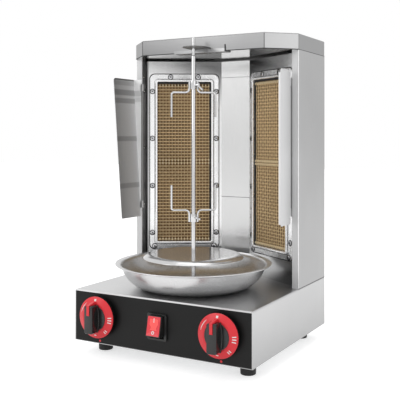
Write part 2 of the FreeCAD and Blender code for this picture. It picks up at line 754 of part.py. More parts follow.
def motor_bracket():
    """Bent plate that hangs the motor under the base's top."""
    body = new_body("motor_bracket", (0, SPIT_Y, 0))
    half = 42
    under = BASE_TOP - TOP
    section = new_sketch(body, "XZ_Plane", "bracket_section", -27.5)
    outline(section, [
        (-half - 12, under), (-half - 12, under - 2), (-half, under - 2), (-half, 90), (half, 90),
        (half, under - 2), (half + 12, under - 2), (half + 12, under), (half - 2, under),
        (half - 2, 92), (-half + 2, 92), (-half + 2, under)])
    pad(body, section, 55)
    hole = circles(new_sketch(body, "XY_Plane", "bracket_hole"), 9.5, [(0, 0)])
    pocket(body, hole, backward=True)


def drive_coupling():
    """Turning socket pressed on the motor's shaft: square above for the spit's foot."""
    body = new_body("drive_coupling", (0, SPIT_Y, 93))
    pad(body, circles(new_sketch(body, "XY_Plane", "coupling_drum"), 8, [(0, 0)]), 19)
    shaft = circles(new_sketch(body, "XY_Plane", "shaft", -14.5), 3.5, [(0, 0)])
    pad(body, shaft, 15)
    socket = rectangle(new_sketch(body, "XY_Plane", "square_socket", 19), 5.16, 5.16)
    pocket(body, socket, 11)


def spit_rod():
    """Rod with a square foot, a step and a thin upper pin."""
    body = new_body("spit_rod", (0, SPIT_Y, 0))
    foot_z = 101.2
    pad(body, rectangle(new_sketch(body, "XY_Plane", "square_foot", foot_z), 5, 5), 12)
    radius, pin = size("rod_radius"), size("pin_radius")
    step, top = size("shoulder_z"), size("spit_top_z")
    profile = new_sketch(body, "XZ_Plane", "rod_profile")
    outline(profile, [
        (0, 112.4), (radius, 112.4), (radius, step), (pin, step + 1), (pin, top - 1.2),
        (pin - 1, top), (0, top)])
    revolve(body, profile)


def meat_disc():
    """Shallow round plate with a sloping skirt, and the collar that holds it on the rod."""
    body = new_body("meat_disc", (0, SPIT_Y, 0))
    top, flat_radius, radius = size("disc_z"), size("disc_flat_radius"), size("disc_radius")
    bore = size("rod_radius") + 0.05
    profile = new_sketch(body, "XZ_Plane", "disc_profile")
    outline(profile, [
        (bore, top), (flat_radius, top), (radius, top - 6.2, (flat_radius + 7.2, top - 2.2)),
        (radius - 1.2, top - 6.2), (flat_radius - 0.6, top - 1.1, (flat_radius + 6, top - 3.2)),
        (bore, top - 1.1)])
    revolve(body, profile)
    collar = new_sketch(body, "XZ_Plane", "collar_profile")
    outline(collar, [(bore, top - 6.4), (7, top - 6.4), (7, top - 0.6), (bore, top - 0.6)])
    revolve(body, collar)


def fork(name, hub_z, sign, arm_drop, tine_drop):
    """Two-tined fork: a hub on the rod and two bent wires welded to its sides.
    The tines point down when sign is 1 and up when it is -1."""
    body = new_body(name, (0, SPIT_Y, hub_z), size("fork_turn"))
    half = size("hub_height") / 2
    wire = size("wire_radius")
    bore = size("rod_radius") + 0.07
    ring = new_sketch(body, "XY_Plane", "hub_ring", -half)
    circles(ring, 4.9, [(0, 0)])
    pad(body, ring, half * 2)
    spread = size("fork_spread")
    for side, edge in (("left", -1), ("right", 1)):
        near = (4.8 + wire) * edge
        first = near + 6.5 * edge
        far = spread * edge
        path = new_sketch(body, "XZ_Plane", side + "_tine_path")
        outline(path, [
            (near, (half - 0.4) * sign), (near, -5.2 * sign),
            (first, -arm_drop * sign, (near + 1.9 * edge, (1.9 - arm_drop) * sign)),
            (far - 3.5 * edge, -arm_drop * sign),
            (far, (-3.5 - arm_drop) * sign,
             (far - 1.03 * edge, (-1.03 - arm_drop) * sign)),
            (far, -tine_drop * sign)], closed=False)
        section = new_sketch(body, "XY_Plane", side + "_tine_section", (half - 0.4) * sign)
        circles(section, wire, [(near, 0)])
        pipe(body, path, section)
    hole = circles(new_sketch(body, "XY_Plane", "rod_hole", -half - 1), bore, [(0, 0)])
    pocket(body, hole, half * 2 + 2, backward=True)
    tapped = new_sketch(body, "YZ_Plane", "screw_hole")
    lean = sheet.screw_turn - sheet.fork_turn
    tapped.AttachmentOffset = FreeCAD.Placement(
        FreeCAD.Vector(0, 0, 0), FreeCAD.Rotation(FreeCAD.Vector(0, 1, 0), lean))
    circles(tapped, 1.65, [(0, 0)])
    pocket(body, tapped, 8, backward=True)


def fork_screw(name, hub_z, role):
    """Screw through the hub's wall that clamps the fork on the rod, with a short cranked lever.
    The lever lies in the named plane, as the screw happens to stand when it is tight."""
    body = new_body(name, (0, SPIT_Y, hub_z), size("screw_turn"))
    shank = circles(new_sketch(body, "YZ_Plane", "screw_shank", 3.35), 1.6, [(0, 0)])
    pad(body, shank, 7)
    lever = new_sketch(body, role, "screw_lever", -1.1)
    outline(lever, [
        (9.6, 1.9), (9.6, -2.9), (16.5, -9.2), (18, -7.4, (17.9, -8.8)), (12.2, -2.4), (12.2, 1.9)])
    pad(body, lever, 2.2)


def drip_pan():
    """Round pan spun from sheet: flat floor with a centre collar, curved wall, flat rim."""
    body = new_body("drip_pan", (0, SPIT_Y, 0))
    floor, rim, rim_z, wall = BASE_TOP, size("pan_radius"), size("pan_rim_z"), size("pan_thick")
    profile = new_sketch(body, "XZ_Plane", "pan_profile")
    outline(profile, [
        (9.5, floor), (70, floor), (111.5, rim_z - 5, (94, floor + 8.3)),
        (115, rim_z - 2, (112.7, rim_z - 3)), (rim - 1, rim_z - 1.6),
        (rim, rim_z - 0.8, (rim - 0.2, rim_z - 1.4)), (rim - 1, rim_z, (rim - 0.3, rim_z - 0.2)),
        (114.6, rim_z - wall), (110.4, rim_z - 4.6, (112, rim_z - 2.4)),
        (69.8, floor + wall, (93.2, floor + 9.2)), (10.5, floor + wall), (10.5, floor + 12),
        (9.5, floor + 12)])
    revolve(body, profile)


def shield_hinge(side, sign):
    """Fixed hinge half on the column's inner face: strip, long knuckle and riveted pin."""
    x, y = size("hinge_x") * sign, size("hinge_y")
    low, high = size("shield_foot_z"), size("shield_top_z")
    face = (WIDTH / 2 - size("column_width")) * sign
    inside = face - 1 * sign
    body = new_body(side + "_shield_hinge")
    plate = new_sketch(body, "XY_Plane", "strip_section", low + 10)
    edge = size("column_front_y") + 0.2
    outline(plate, [(face, edge), (face, 36.5), (inside, 36.5), (inside, edge)])
    pad(body, plate, high - low - 20)
    tab = new_sketch(body, "XY_Plane", "knuckle_tab", low + 24)
    outline(tab, [(face, y), (face, edge), (inside, edge), (inside, y)])
    pad(body, tab, high - low - 48)
    knuckle = circles(new_sketch(body, "XY_Plane", "knuckle", low + 24), 2.2, [(x, y)])
    pad(body, knuckle, high - low - 48)
    pin = circles(new_sketch(body, "XY_Plane", "hinge_pin", low + 11), 1.2, [(x, y)])
    pad(body, pin, high - low - 22)


def shield_knuckles(body, side, sign, low, high):
    """Upper and lower moving knuckles of a shield, each with its pin hole."""
    x, y = size("hinge_x") * sign, size("hinge_y")
    for name, start in (("lower", low + 12), ("upper", high - 23.7)):
        drum = circles(new_sketch(body, "XY_Plane", name + "_drum", start), 2.2, [(x, y)])
        pad(body, drum, 11.7)
    hole = circles(new_sketch(body, "XY_Plane", "pin_hole", low), 1.25, [(x, y)])
    pocket(body, hole, high - low, backward=True)


def right_shield():
    """Flat leaf, hinged at the right column, with a cut upper corner and a folded front edge."""
    body = new_body("right_shield", (0, 0, 0))
    low, high = size("shield_foot_z"), size("shield_top_z")
    y = size("hinge_y")
    plane_x = size("hinge_x") + 1.2
    back = y - 2.4
    front = y - size("shield_width") + 3
    leaf = new_sketch(body, "YZ_Plane", "leaf", plane_x)
    outline(leaf, [
        (back, low), (back, high - 4), (back - 9, high), (front + 3.5, high), (front, high - 6.5),
        (front, low + 3), (front + 3, low)])
    pad(body, leaf, 1)
    fold = new_sketch(body, "XY_Plane", "front_fold", low + 3)
    outline(fold, [
        (plane_x, front), (plane_x + 1, front), (plane_x + 1, front - 1), (plane_x - 2, front - 1),
        (plane_x - 2, front)])
    pad(body, fold, high - low - 9.5)
    for name, start in (("lower", low + 12), ("upper", high - 23.7)):
        tab = new_sketch(body, "XY_Plane", name + "_tab", start)
        outline(tab, [
            (plane_x, back), (plane_x + 1, back), (plane_x + 1, y), (plane_x, y)])
        pad(body, tab, 11.7)
    shield_knuckles(body, "right", 1, low, high)


def left_shield():
    """Leaf that leans outward, joined to the left column's hinge by a tapered front flange."""
    body = new_body("left_shield", (0, 0, 0))
    low, high = 194.7, 429.0
    x, y = -size("hinge_x"), size("hinge_y")
    depth = size("hinge_y") + 0.4

    def leaf_section(name, level, bend_x, front_x, front_y):
        section = new_sketch(body, "XY_Plane", name, level)
        return outline(section, [
            (x, depth), (x, depth - 1), (bend_x + 1, depth - 1), (front_x + 1, front_y),
            (front_x, front_y), (bend_x, depth)])

    foot = leaf_section("leaf_foot", low, -139.4, -142.8, -27.3)
    head = leaf_section("leaf_head", high, -154.3, -155.5, -33.1)
    loft = body.newObject("PartDesign::AdditiveLoft", "leaf_loft")
    loft.Profile = foot
    loft.Sections = [head]
    loft.Ruled = True
    doc.recompute()
    relief = new_sketch(body, "XY_Plane", "knuckle_relief", low - 1)
    rectangle(relief, 5.6, 5.6, (x, y))
    pocket(body, relief, high - low + 2, backward=True)
    for name, start in (("lower", size("shield_foot_z") + 12), ("upper", size("shield_top_z") - 23.7)):
        tab = new_sketch(body, "XY_Plane", name + "_tab", start)
        outline(tab, [
            (x - 4, depth - 1), (x, depth - 1), (x, depth), (x - 4, depth)])
        pad(body, tab, 11.7)
    shield_knuckles(body, "left", -1, size("shield_foot_z"), size("shield_top_z"))


def burner_screws():
    """Round screw heads that hold the two burner frames."""
    sets = []
    for side, sign in SIDES:
        body = burner_body(side + "_frame_screws", sign)
        heads = new_sketch(body, "XZ_Plane", "screw_heads", 1.5)
        centres = [(x, z) for x in (-55.5, 55.5) for z in (-123.2, -41.8, 40.1, 121.5)]
        centres += [(x, z) for x, z in ((-51.5, -146.4), (51.5, -146.4), (-24, 146.4), (24, 146.4))]
        pad(body, circles(heads, 4, centres), 1.8)
        sets.append(body)
    group("burner_screws", sets)


def gas_inlet():
    """Brass hose connection at the back: inner nut, hexagon and threaded stub."""
    body = new_body("gas_inlet", (GAS_X, BACK, PIPE_Z))
    nut = circles(new_sketch(body, "XZ_Plane", "inner_nut", TOP), 9.5, [(0, 0)])
    pad(body, nut, 11.5)
    neck = circles(new_sketch(body, "XZ_Plane", "neck", 0), 7.9, [(0, 0)])
    pad(body, neck, TOP)
    hexagon = new_sketch(body, "XZ_Plane", "hexagon", 0)
    reach = 11.0
    corners = [(reach * math.cos(math.radians(60 * k)), reach * math.sin(math.radians(60 * k)))
               for k in range(6)]
    pad(body, outline(hexagon, corners), 9, backward=True)
    stub = circles(new_sketch(body, "XZ_Plane", "stub", -9), 6.58, [(0, 0)])
    pad(body, stub, size("inlet_reach") - 9, backward=True)
    bore = circles(new_sketch(body, "XZ_Plane", "gas_bore", -size("inlet_reach")), 3, [(0, 0)])
    pocket(body, bore, 24, backward=True)


def power_gland():
    """Plastic cable gland at the back for the motor's lead."""
    body = new_body("power_gland", (POWER_X, BACK, PIPE_Z))
    nut = circles(new_sketch(body, "XZ_Plane", "gland_nut", TOP), 11, [(0, 0)])
    pad(body, nut, 5)
    neck = circles(new_sketch(body, "XZ_Plane", "gland_neck", 0), 7.9, [(0, 0)])
    pad(body, neck, TOP)
    cap = circles(new_sketch(body, "XZ_Plane", "gland_cap", 0), 11, [(0, 0)])
    pad(body, cap, 9, backward=True)
    nose = circles(new_sketch(body, "XZ_Plane", "gland_nose", -9), 7.5, [(0, 0)])
    pad(body, nose, 6, backward=True)
    bore = circles(new_sketch(body, "XZ_Plane", "lead_bore", -16), 3.5, [(0, 0)])
    pocket(body, bore, 24, backward=True)


base_housing()
front_panel()
base_bottom_plate()
feet()
rear_cover()
hood_shell()
ceiling_plate()
spit_top_bracket()
centre_panel()
for side, sign in SIDES:
    column(side, sign)
    burner_panel(side, sign)
    burner_frame(side, sign)
    burner_mesh(side, sign)
    plaque(side, sign, "upper", 1)
    plaque(side, sign, "lower", -1)
    burner_head(side, sign)
    mixing_tube(side, sign)
    gas_line(side, sign)
    gas_valve(side, sign)
    valve_plug(side, sign)
    knob(side, sign)
    shield_hinge(side, sign)
burner_screws()
gas_manifold()
gas_inlet()
power_gland()
switch_housing()
rocker()
drive_motor()
motor_bracket()
drive_coupling()
spit_rod()
meat_disc()
UPPER_FORK_Z, LOWER_FORK_Z = 411.3, 205.0
fork("upper_fork", UPPER_FORK_Z, 1, 11.7, 50.4)
fork("lower_fork", LOWER_FORK_Z, -1, 12.2, 51.4)
fork_screw("upper_fork_screw", UPPER_FORK_Z, "XZ_Plane")
fork_screw("lower_fork_screw", LOWER_FORK_Z, "XY_Plane")
drip_pan()
right_shield()
left_shield()

doc.recompute()
for item in doc.Objects:
    if "Invalid" in item.State or "Error" in item.State:
        raise RuntimeError("failed object: %s %s" % (item.Name, item.State))

os.makedirs("parts", exist_ok=True)
for item in NODES:
    shape = item.Shape
    if shape.isNull() or not shape.isValid():
        raise RuntimeError("bad shape: " + item.Label)
    shape.exportStep("parts/%s.step" % item.Label)
    print("%-24s %8.1f" % (item.Label, shape.Volume / 1000))
print(len(NODES), "nodes")
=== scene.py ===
"""Looks of a table-top doner kebab grill: bent steel housing, two gas burners behind woven wire,
a turning spit over a spun pan, side shields, gas knobs and a lit switch."""

import math

import bmesh
import bpy
import numpy as np
from bpy.props import FloatProperty, FloatVectorProperty, PointerProperty
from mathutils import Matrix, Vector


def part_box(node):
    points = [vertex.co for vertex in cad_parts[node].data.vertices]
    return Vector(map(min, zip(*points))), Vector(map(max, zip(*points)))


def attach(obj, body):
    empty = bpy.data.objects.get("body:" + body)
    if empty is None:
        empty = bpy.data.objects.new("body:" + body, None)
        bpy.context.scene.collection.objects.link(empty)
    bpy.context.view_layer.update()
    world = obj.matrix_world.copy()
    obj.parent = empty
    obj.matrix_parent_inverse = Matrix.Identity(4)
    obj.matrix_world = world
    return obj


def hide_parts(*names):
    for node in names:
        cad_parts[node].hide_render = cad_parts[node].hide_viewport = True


bl_info = {
    "name": "Doner kebab grill",
    "version": (1, 0, 0),
    "blender": (4, 5, 0),
    "location": "3D View > Sidebar > Grill",
    "description": "Adds the detailed pieces, finishes and stage of a table-top doner kebab grill",
    "category": "Add Mesh",
}

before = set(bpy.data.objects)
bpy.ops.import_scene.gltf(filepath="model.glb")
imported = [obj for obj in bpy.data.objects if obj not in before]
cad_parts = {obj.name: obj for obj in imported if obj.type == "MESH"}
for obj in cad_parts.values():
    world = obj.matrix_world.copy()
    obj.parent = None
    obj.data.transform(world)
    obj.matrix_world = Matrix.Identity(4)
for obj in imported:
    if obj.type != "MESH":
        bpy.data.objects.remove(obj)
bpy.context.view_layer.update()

MM = 0.001
SIDES = (("left", -1), ("right", 1))


# ---------------------------------------------------------------- settings

def length(name, description, millimetres):
    """A length that the sidebar shows in the scene's unit."""
    return FloatProperty(name=name, description=description, default=millimetres * MM,
                         unit="LENGTH")


def tint(name, description, *default):
    """A colour that the sidebar shows as a swatch."""
    return FloatVectorProperty(name=name, description=description, default=default,
                               subtype="COLOR", size=3)


class GrillSizes(bpy.types.PropertyGroup):
    """Sizes of the details that the solids leave plain."""

    bend: length("Sheet bend", "Outer radius of the housing's bends", 2.2)
    mesh_pitch: length("Screen pitch", "Distance between the burner screen's wires", 5.3)
    mesh_wire: length("Screen wire", "Radius of the burner screen's wire", 0.64)
    mesh_crimp: length("Screen crimp", "How far a wire swings off the screen's plane", 0.5)
    print_thick: length("Print", "Thickness of the printed marks", 0.12)
    floor_size: length("Floor", "Side of the pale floor", 12000)


class GrillColours(bpy.types.PropertyGroup):
    """Colours of the grill's finishes."""

    housing: tint("Housing steel", "Fine brushed stainless sheet of base, tower and hood",
                  0.56, 0.56, 0.563)
    bright: tint("Bright steel", "Bright rolled stainless sheet inside the tower",
                 0.78, 0.78, 0.78)
    polished: tint("Polished steel", "Polished stainless of pan, disc, spit and forks",
                   0.62, 0.62, 0.623)
    screen: tint("Burner screen", "Heat-toned wire of the burner screens", 0.97, 0.73, 0.41)
    plaque: tint("Burner ceramic", "Ceramic behind the screens", 0.30, 0.185, 0.095)
    red: tint("Red plastic", "Knob ring, pointer and index dots", 0.80, 0.035, 0.048)
    black: tint("Black plastic", "Knob, switch frame and feet", 0.010, 0.010, 0.010)
    panel: tint("Black panel", "Painted control panel", 0.004, 0.004, 0.004)
    brass: tint("Brass", "Gas taps, jets and hose stub", 0.62, 0.45, 0.18)


def size(name):
    """One of the grill's sizes, in millimetres."""
    return getattr(bpy.context.scene.grill_sizes, name) / MM


def colour(name, factor=1.0):
    """One of the grill's colours, made lighter or darker by a factor."""
    return [c * factor for c in getattr(bpy.context.scene.grill_colours, name)]


# ---------------------------------------------------------------- shapes, in millimetres

def corners(node):
    """Lowest and highest corner of a CAD node."""
    return [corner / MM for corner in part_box(node)]


def between(start, finish, share):
    """Points that lie a share of the way from start to finish."""
    return (1 - share) * np.array(start) + share * np.array(finish)


def rectangle(left, right, low, high):
    """The four corners of a rectangle."""
    return np.array([(left, low), (right, low), (right, high), (left, high)], float)


def traced(points, steps=10):
    """Points along straight lines, and along an arc wherever a point is (x, y, (u, v)): that
    point is reached by the circle through the last point, (u, v) and (x, y). The circle's centre
    is where two chords' perpendicular bisectors meet."""
    line = [np.array([points[0][:2]], float)]
    for start, finish in zip(points, points[1:]):
        if len(finish) == 2:
            line.append(np.array([finish], float))
            continue
        a, b, c = (np.array(p, float) for p in (start[:2], finish[2], finish[:2]))
        centre = np.linalg.solve(2 * np.array([b - a, c - a]), [b @ b - a @ a, c @ c - a @ a])
        turn = np.unwrap([math.atan2(*(p - centre)[::-1]) for p in (a, b, c)])
        if abs(turn[2] - turn[0]) < 1e-9 or (turn[1] - turn[0]) * (turn[2] - turn[1]) < 0:
            turn[2] += math.copysign(2 * math.pi, turn[1] - turn[0])
        angle = np.linspace(turn[0], turn[2], steps + 1)[1:, None]
        line.append(centre + np.linalg.norm(a - centre) * np.hstack([np.cos(angle), np.sin(angle)]))
    return np.vstack(line)


def rounded(outline, radii, steps=6):
    """A closed outline with each corner replaced by an arc. A corner of turning angle t and
    radius r is cut r tan(t/2) along both sides, and the arc is swept about the centre that lies
    r from both sides."""
    outline = np.array(outline, float)
    radii = np.broadcast_to(radii, len(outline))[:, None]
    into = outline - np.roll(outline, 1, axis=0)
    out = np.roll(outline, -1, axis=0) - outline
    into = into / np.linalg.norm(into, axis=1, keepdims=True)
    out = out / np.linalg.norm(out, axis=1, keepdims=True)
    turn = np.arctan2(into[:, :1] * out[:, 1:] - into[:, 1:] * out[:, :1],
                      (into * out).sum(1, keepdims=True))
    normal = np.sign(turn) * np.stack([-into[:, 1], into[:, 0]], axis=1)
    centre = outline - into * radii * np.tan(np.abs(turn) / 2) + normal * radii
    angle = np.arctan2(-normal[:, 1:], -normal[:, :1]) + turn * np.linspace(0, 1, steps + 1)
    arcs = np.stack([np.cos(angle), np.sin(angle)], axis=-1)
    return (centre[:, None] + radii[:, None] * arcs).reshape(-1, 2)


def at_level(outline, level):
    """A flat outline as points in space, all at one level."""
    return np.column_stack([outline, np.full(len(outline), level)])


def grid(points, wrap_rows=False, wrap_columns=True, caps=False):
    """Quads between the neighbours of a grid of points, joined end to end in a wrapped
    direction. Caps close the first and last row with one face each."""
    rows, columns = points.shape[:2]
    i = np.arange(rows if wrap_rows else rows - 1)[:, None]
    j = np.arange(columns if wrap_columns else columns - 1)[None, :]
    after_i, after_j = (i + 1) % rows, (j + 1) % columns
    quads = np.stack([i * columns + j, i * columns + after_j,
                      after_i * columns + after_j, after_i * columns + j], axis=-1)
    faces = quads.reshape(-1, 4).tolist()
    if caps:
        faces.append(list(range(columns))[::-1])
        faces.append(list(range((rows - 1) * columns, rows * columns)))
    return points.reshape(-1, 3), faces


def revolved(profile, segments=96, closed=True):
    """A profile of (radius, height) points turned about Z: (r cos a, r sin a, z)."""
    angle = np.linspace(0, 2 * math.pi, segments, endpoint=False)
    r, z = np.array(profile, float).T
    points = np.stack([np.outer(r, np.cos(angle)), np.outer(r, np.sin(angle)),
                       np.outer(z, np.ones(segments))], axis=-1)
    return grid(points, wrap_rows=closed)


def tube(path, radius, normal, sides=12):
    """A round tube along a flat path. At each point the ring is p + r (cos a n + sin a b), where
    n is the plane's normal and b is square to n and to the path."""
    path = np.array(path, float)
    ahead = np.gradient(path, axis=0)
    ahead /= np.linalg.norm(ahead, axis=1, keepdims=True)
    normal = np.array(normal, float)
    across = np.cross(ahead, normal)
    angle = np.linspace(0, 2 * math.pi, sides, endpoint=False)[None, :, None]
    ring = radius * (np.cos(angle) * normal + np.sin(angle) * across[:, None])
    return grid(path[:, None] + ring, caps=True)


def prism(outline, low, high, edge=0.0, steps=3):
    """A flat outline raised from low to high. With an edge radius e, the ends are drawn in to the
    outline's middle by e (1 - cos a) while they rise by e sin a."""
    outline = np.array(outline, float)
    middle = outline.mean(0)
    reach = np.linalg.norm(outline - middle, axis=1, keepdims=True)
    turn = np.linspace(math.pi / 2, 0, steps + 1) if edge else np.zeros(1)
    drawn, raised = edge * (1 - np.cos(turn)), edge * (1 - np.sin(turn))
    levels = np.concatenate([low + raised, (high - raised)[::-1]])
    insets = np.concatenate([drawn, drawn[::-1]])
    flat = middle + (outline - middle)[None] * (1 - insets[:, None, None] / reach)
    height = np.broadcast_to(levels[:, None, None], flat.shape[:2] + (1,))
    return grid(np.concatenate([flat, height], axis=-1), caps=True)


def block(x, y, z, edge=0.0):
    """A strip, tab or plate between two values on each axis."""
    return prism(rectangle(*x, *y), *z, edge)


def laid(shape, x_axis, y_axis, z_axis, at=(0, 0, 0)):
    """A shape whose own axes are laid along three directions, and then moved."""
    points, faces = shape
    return points @ np.array([x_axis, y_axis, z_axis], float) + np.array(at, float), faces


def facing(shape, at=(0, 0, 0)):
    """A shape made looking up, laid so that its height points to the front."""
    return laid(shape, (1, 0, 0), (0, 0, 1), (0, -1, 0), at)


def turned(shape, degrees, at=(0, 0, 0)):
    """A shape turned about Z and then moved."""
    c, s = math.cos(math.radians(degrees)), math.sin(math.radians(degrees))
    return laid(shape, (c, s, 0), (-s, c, 0), (0, 0, 1), at)


def on_spit(shape, degrees=0, level=0):
    """A shape turned about Z and moved onto the spit's axis."""
    return turned(shape, degrees, (0, -36.5, level))


def copies(shape, places):
    """One shape repeated at many places."""
    points, faces = shape
    many = (np.array(places, float)[:, None] + points[None]).reshape(-1, 3)
    step = len(points)
    return many, [[v + step * k for v in face] for k in range(len(places)) for face in faces]


def stood(name, data):
    """A new object in the scene."""
    thing = bpy.data.objects.new(name, data)
    bpy.context.scene.collection.objects.link(thing)
    return thing


def piece(name, shapes, slot, material, stands_for=(), body="housing", crease=32):
    """One mesh of all the shapes, in metres, with outward faces and creased edges."""
    points, faces, first = [], [], 0
    for part_points, part_faces in shapes:
        points.append(part_points)
        faces += [[v + first for v in face] for face in part_faces]
        first += len(part_points)
    mesh = bpy.data.meshes.new(name)
    mesh.from_pydata((np.vstack(points) * MM).tolist(), [], faces)
    cleaned = bmesh.new()
    cleaned.from_mesh(mesh)
    bmesh.ops.remove_doubles(cleaned, verts=cleaned.verts, dist=1e-6)
    bmesh.ops.recalc_face_normals(cleaned, faces=cleaned.faces)
    cleaned.to_mesh(mesh)
    cleaned.free()
    mesh.polygons.foreach_set("use_smooth", np.ones(len(mesh.polygons), bool))
    mesh.set_sharp_from_angle(angle=math.radians(crease))
    mesh.materials.append(material)
    thing = stood(name, mesh)
    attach(thing, body)
    if stands_for:
        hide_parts(*stands_for)


def dress(material, *nodes):
    """Give CAD nodes a finish."""
    for name in nodes:
        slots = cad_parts[name].data.materials
        slots.clear()
        slots.append(material)


# ---------------------------------------------------------------- finishes

COLOUR, FLOAT, VECTOR = "NodeSocketColor", "NodeSocketFloat", "NodeSocketVector"
LEVEL, UPRIGHT = (1.0, 60.0, 60.0), (60.0, 60.0, 1.0)
EVEN = (8.0, 8.0, 8.0)


def feed(tree, node, values):
    """Set a node's inputs, or link them where the value is another node's output."""
    for key, value in dict(values).items():
        if isinstance(value, bpy.types.NodeSocket):
            tree.links.new(value, node.inputs[key])
        else:
            node.inputs[key].default_value = value


def add(tree, kind, values=(), **settings):
    """A node with its settings and its inputs."""
    node = tree.nodes.new(kind)
    for key, value in settings.items():
        setattr(node, key, value)
    feed(tree, node, values)
    return node


def worked(tree, operation, *values, kind="ShaderNodeMath", out=0, **settings):
    """What a Math node makes of its values."""
    return add(tree, kind, enumerate(values), operation=operation, **settings).outputs[out]


def vector(tree, operation, *values, out=0):
    """What a Vector Math node makes of its values."""
    return worked(tree, operation, *values, kind="ShaderNodeVectorMath", out=out)


def scaled(tree, tone, factor):
    """A colour made lighter or darker."""
    return add(tree, "ShaderNodeVectorMath", {0: tone, "Scale": factor},
               operation="SCALE").outputs[0]


def noise(tree, place, **values):
    """Noise at a place."""
    values = {key.title(): value for key, value in values.items()}
    return add(tree, "ShaderNodeTexNoise", {"Vector": place, **values}).outputs["Fac"]


def ranged(tree, value, low, high, to_low=0.0, to_high=1.0):
    """A value carried evenly from one range to another, and held within it."""
    return add(tree, "ShaderNodeMapRange", {
        "Value": value, "From Min": low, "From Max": high,
        "To Min": to_low, "To Max": to_high}).outputs["Result"]


def bumped(tree, height, strength, distance):
    """The normal of a fine relief."""
    return add(tree, "ShaderNodeBump", {
        "Strength": strength, "Distance": distance, "Height": height}).outputs["Normal"]


def shared_group(name, inputs, work):
    """A shader node group, made once: its named inputs, and the colour, roughness and normal that
    work() makes of them and of the place in object coordinates."""
    if name in bpy.data.node_groups:
        return bpy.data.node_groups[name]
    group = bpy.data.node_groups.new(name, "ShaderNodeTree")
    for label, kind, default in inputs:
        socket = group.interface.new_socket(name=label, in_out="INPUT", socket_type=kind)
        socket.default_value = default
    for label, kind in (("Colour", COLOUR), ("Roughness", FLOAT), ("Normal", VECTOR)):
        group.interface.new_socket(name=label, in_out="OUTPUT", socket_type=kind)
    given = add(group, "NodeGroupInput").outputs
    place = add(group, "ShaderNodeTexCoord").outputs["Object"]
    add(group, "NodeGroupOutput", zip(("Colour", "Roughness", "Normal"), work(group, given, place)))
    return group


def brushed(group, given, place):
    """Brushed sheet: noise stretched along the grain shades the colour and the roughness and
    feeds a fine bump; a slow noise drifts the tone, and the tone also leans evenly across the
    sheet, by 1 + (place - centre) . lean, held between 0.3 and 1.25. The lean is painted light
    and shade: a gradient in the colour that stands in for how light falls on the sheet."""
    along = vector(group, "MULTIPLY", place, given["Stretch"])
    grain = noise(group, along, scale=30.0, detail=3.0, roughness=0.6)
    shade = ranged(group, grain, 0.25, 0.75)
    deep = worked(group, "MULTIPLY_ADD", shade, given["Grain"],
                  worked(group, "SUBTRACT", 1.0, given["Grain"]))
    slow = ranged(group, noise(group, place, scale=9.0, detail=2.0), 0.3, 0.7,
                  worked(group, "SUBTRACT", 1.0, given["Drift"]))
    # Painted light and shade: the tone leans lighter and darker across the sheet.
    away = vector(group, "SUBTRACT", place, given["Centre"])
    lean = vector(group, "DOT_PRODUCT", away, given["Lean"], out="Value")
    tone = worked(group, "MULTIPLY", worked(group, "MULTIPLY", deep, slow),
                  ranged(group, lean, -0.7, 0.25, 0.3, 1.25))
    rough = worked(group, "ADD", worked(group, "MULTIPLY", shade, 0.12), given["Roughness"])
    return scaled(group, given["Colour"], tone), rough, bumped(group, grain, given["Bump"], 0.0002)


def moulded(group, given, place):
    """Moulded or painted skin: fine and coarse noise shade the colour a little and feed a bump."""
    fine = noise(group, place, scale=given["Scale"], detail=2.0)
    wide = noise(group, place, scale=14.0, detail=3.0)
    shade = ranged(group, worked(group, "MULTIPLY_ADD", fine, 0.35, wide), 0.45, 0.9,
                   worked(group, "SUBTRACT", 1.0, given["Shade"]))
    rough = worked(group, "MULTIPLY_ADD", wide, 0.1, given["Roughness"])
    return scaled(group, given["Colour"], shade), rough, bumped(group, fine, given["Bump"], 0.0003)


def finish_with(name, group, values, shader_values):
    """A material whose Principled shader takes its colour, roughness and normal from a group."""
    if name in bpy.data.materials:
        return bpy.data.materials[name]
    material = bpy.data.materials.new(name)
    material.use_nodes = True
    tree = material.node_tree
    made = add(tree, "ShaderNodeGroup", values, node_tree=group).outputs
    feed(tree, tree.nodes["Principled BSDF"], {
        "Base Color": made["Colour"], "Roughness": made["Roughness"], "Normal": made["Normal"],
        **shader_values})
    return material


def sheet_steel(name, tone, stretch, rough, grain=0.1, drift=0.08, bump=0.06,
                centre=(0, 0, 0), lean=(0, 0, 0), metallic=1.0):
    """Stainless sheet, brushed along the axis that is stretched least."""
    group = shared_group("Brushed sheet", [
        ("Colour", COLOUR, (0.6, 0.6, 0.6, 1)), ("Stretch", VECTOR, LEVEL),
        ("Grain", FLOAT, 0.1), ("Drift", FLOAT, 0.1), ("Roughness", FLOAT, 0.3),
        ("Bump", FLOAT, 0.05), ("Centre", VECTOR, (0, 0, 0)), ("Lean", VECTOR, (0, 0, 0))], brushed)
    return finish_with(name, group, {
        "Colour": (*tone, 1), "Stretch": stretch, "Grain": grain, "Drift": drift,
        "Roughness": rough, "Bump": bump, "Centre": centre, "Lean": lean}, {"Metallic": metallic})


def skin(name, tone, rough, scale=900.0, shade=0.15, bump=0.1, **shader_values):
    """Plastic, rubber, paint or ceramic."""
    group = shared_group("Moulded skin", [
        ("Colour", COLOUR, (0.5, 0.5, 0.5, 1)), ("Scale", FLOAT, 900.0), ("Shade", FLOAT, 0.15),
        ("Roughness", FLOAT, 0.4), ("Bump", FLOAT, 0.1)], moulded)
    return finish_with(name, group, {
        "Colour": (*tone, 1), "Scale": scale, "Shade": shade, "Roughness": rough, "Bump": bump},
        {key.replace("_", " ").title().replace("Ior", "IOR"): value
         for key, value in shader_values.items()})


def housing_steel(direction, label, factor=1.0, rough=0.26, **tone):
    """The housing's brushed steel, with its grain along one direction."""
    return sheet_steel("Housing steel " + label, colour("housing", factor), direction, rough,
                       **tone)


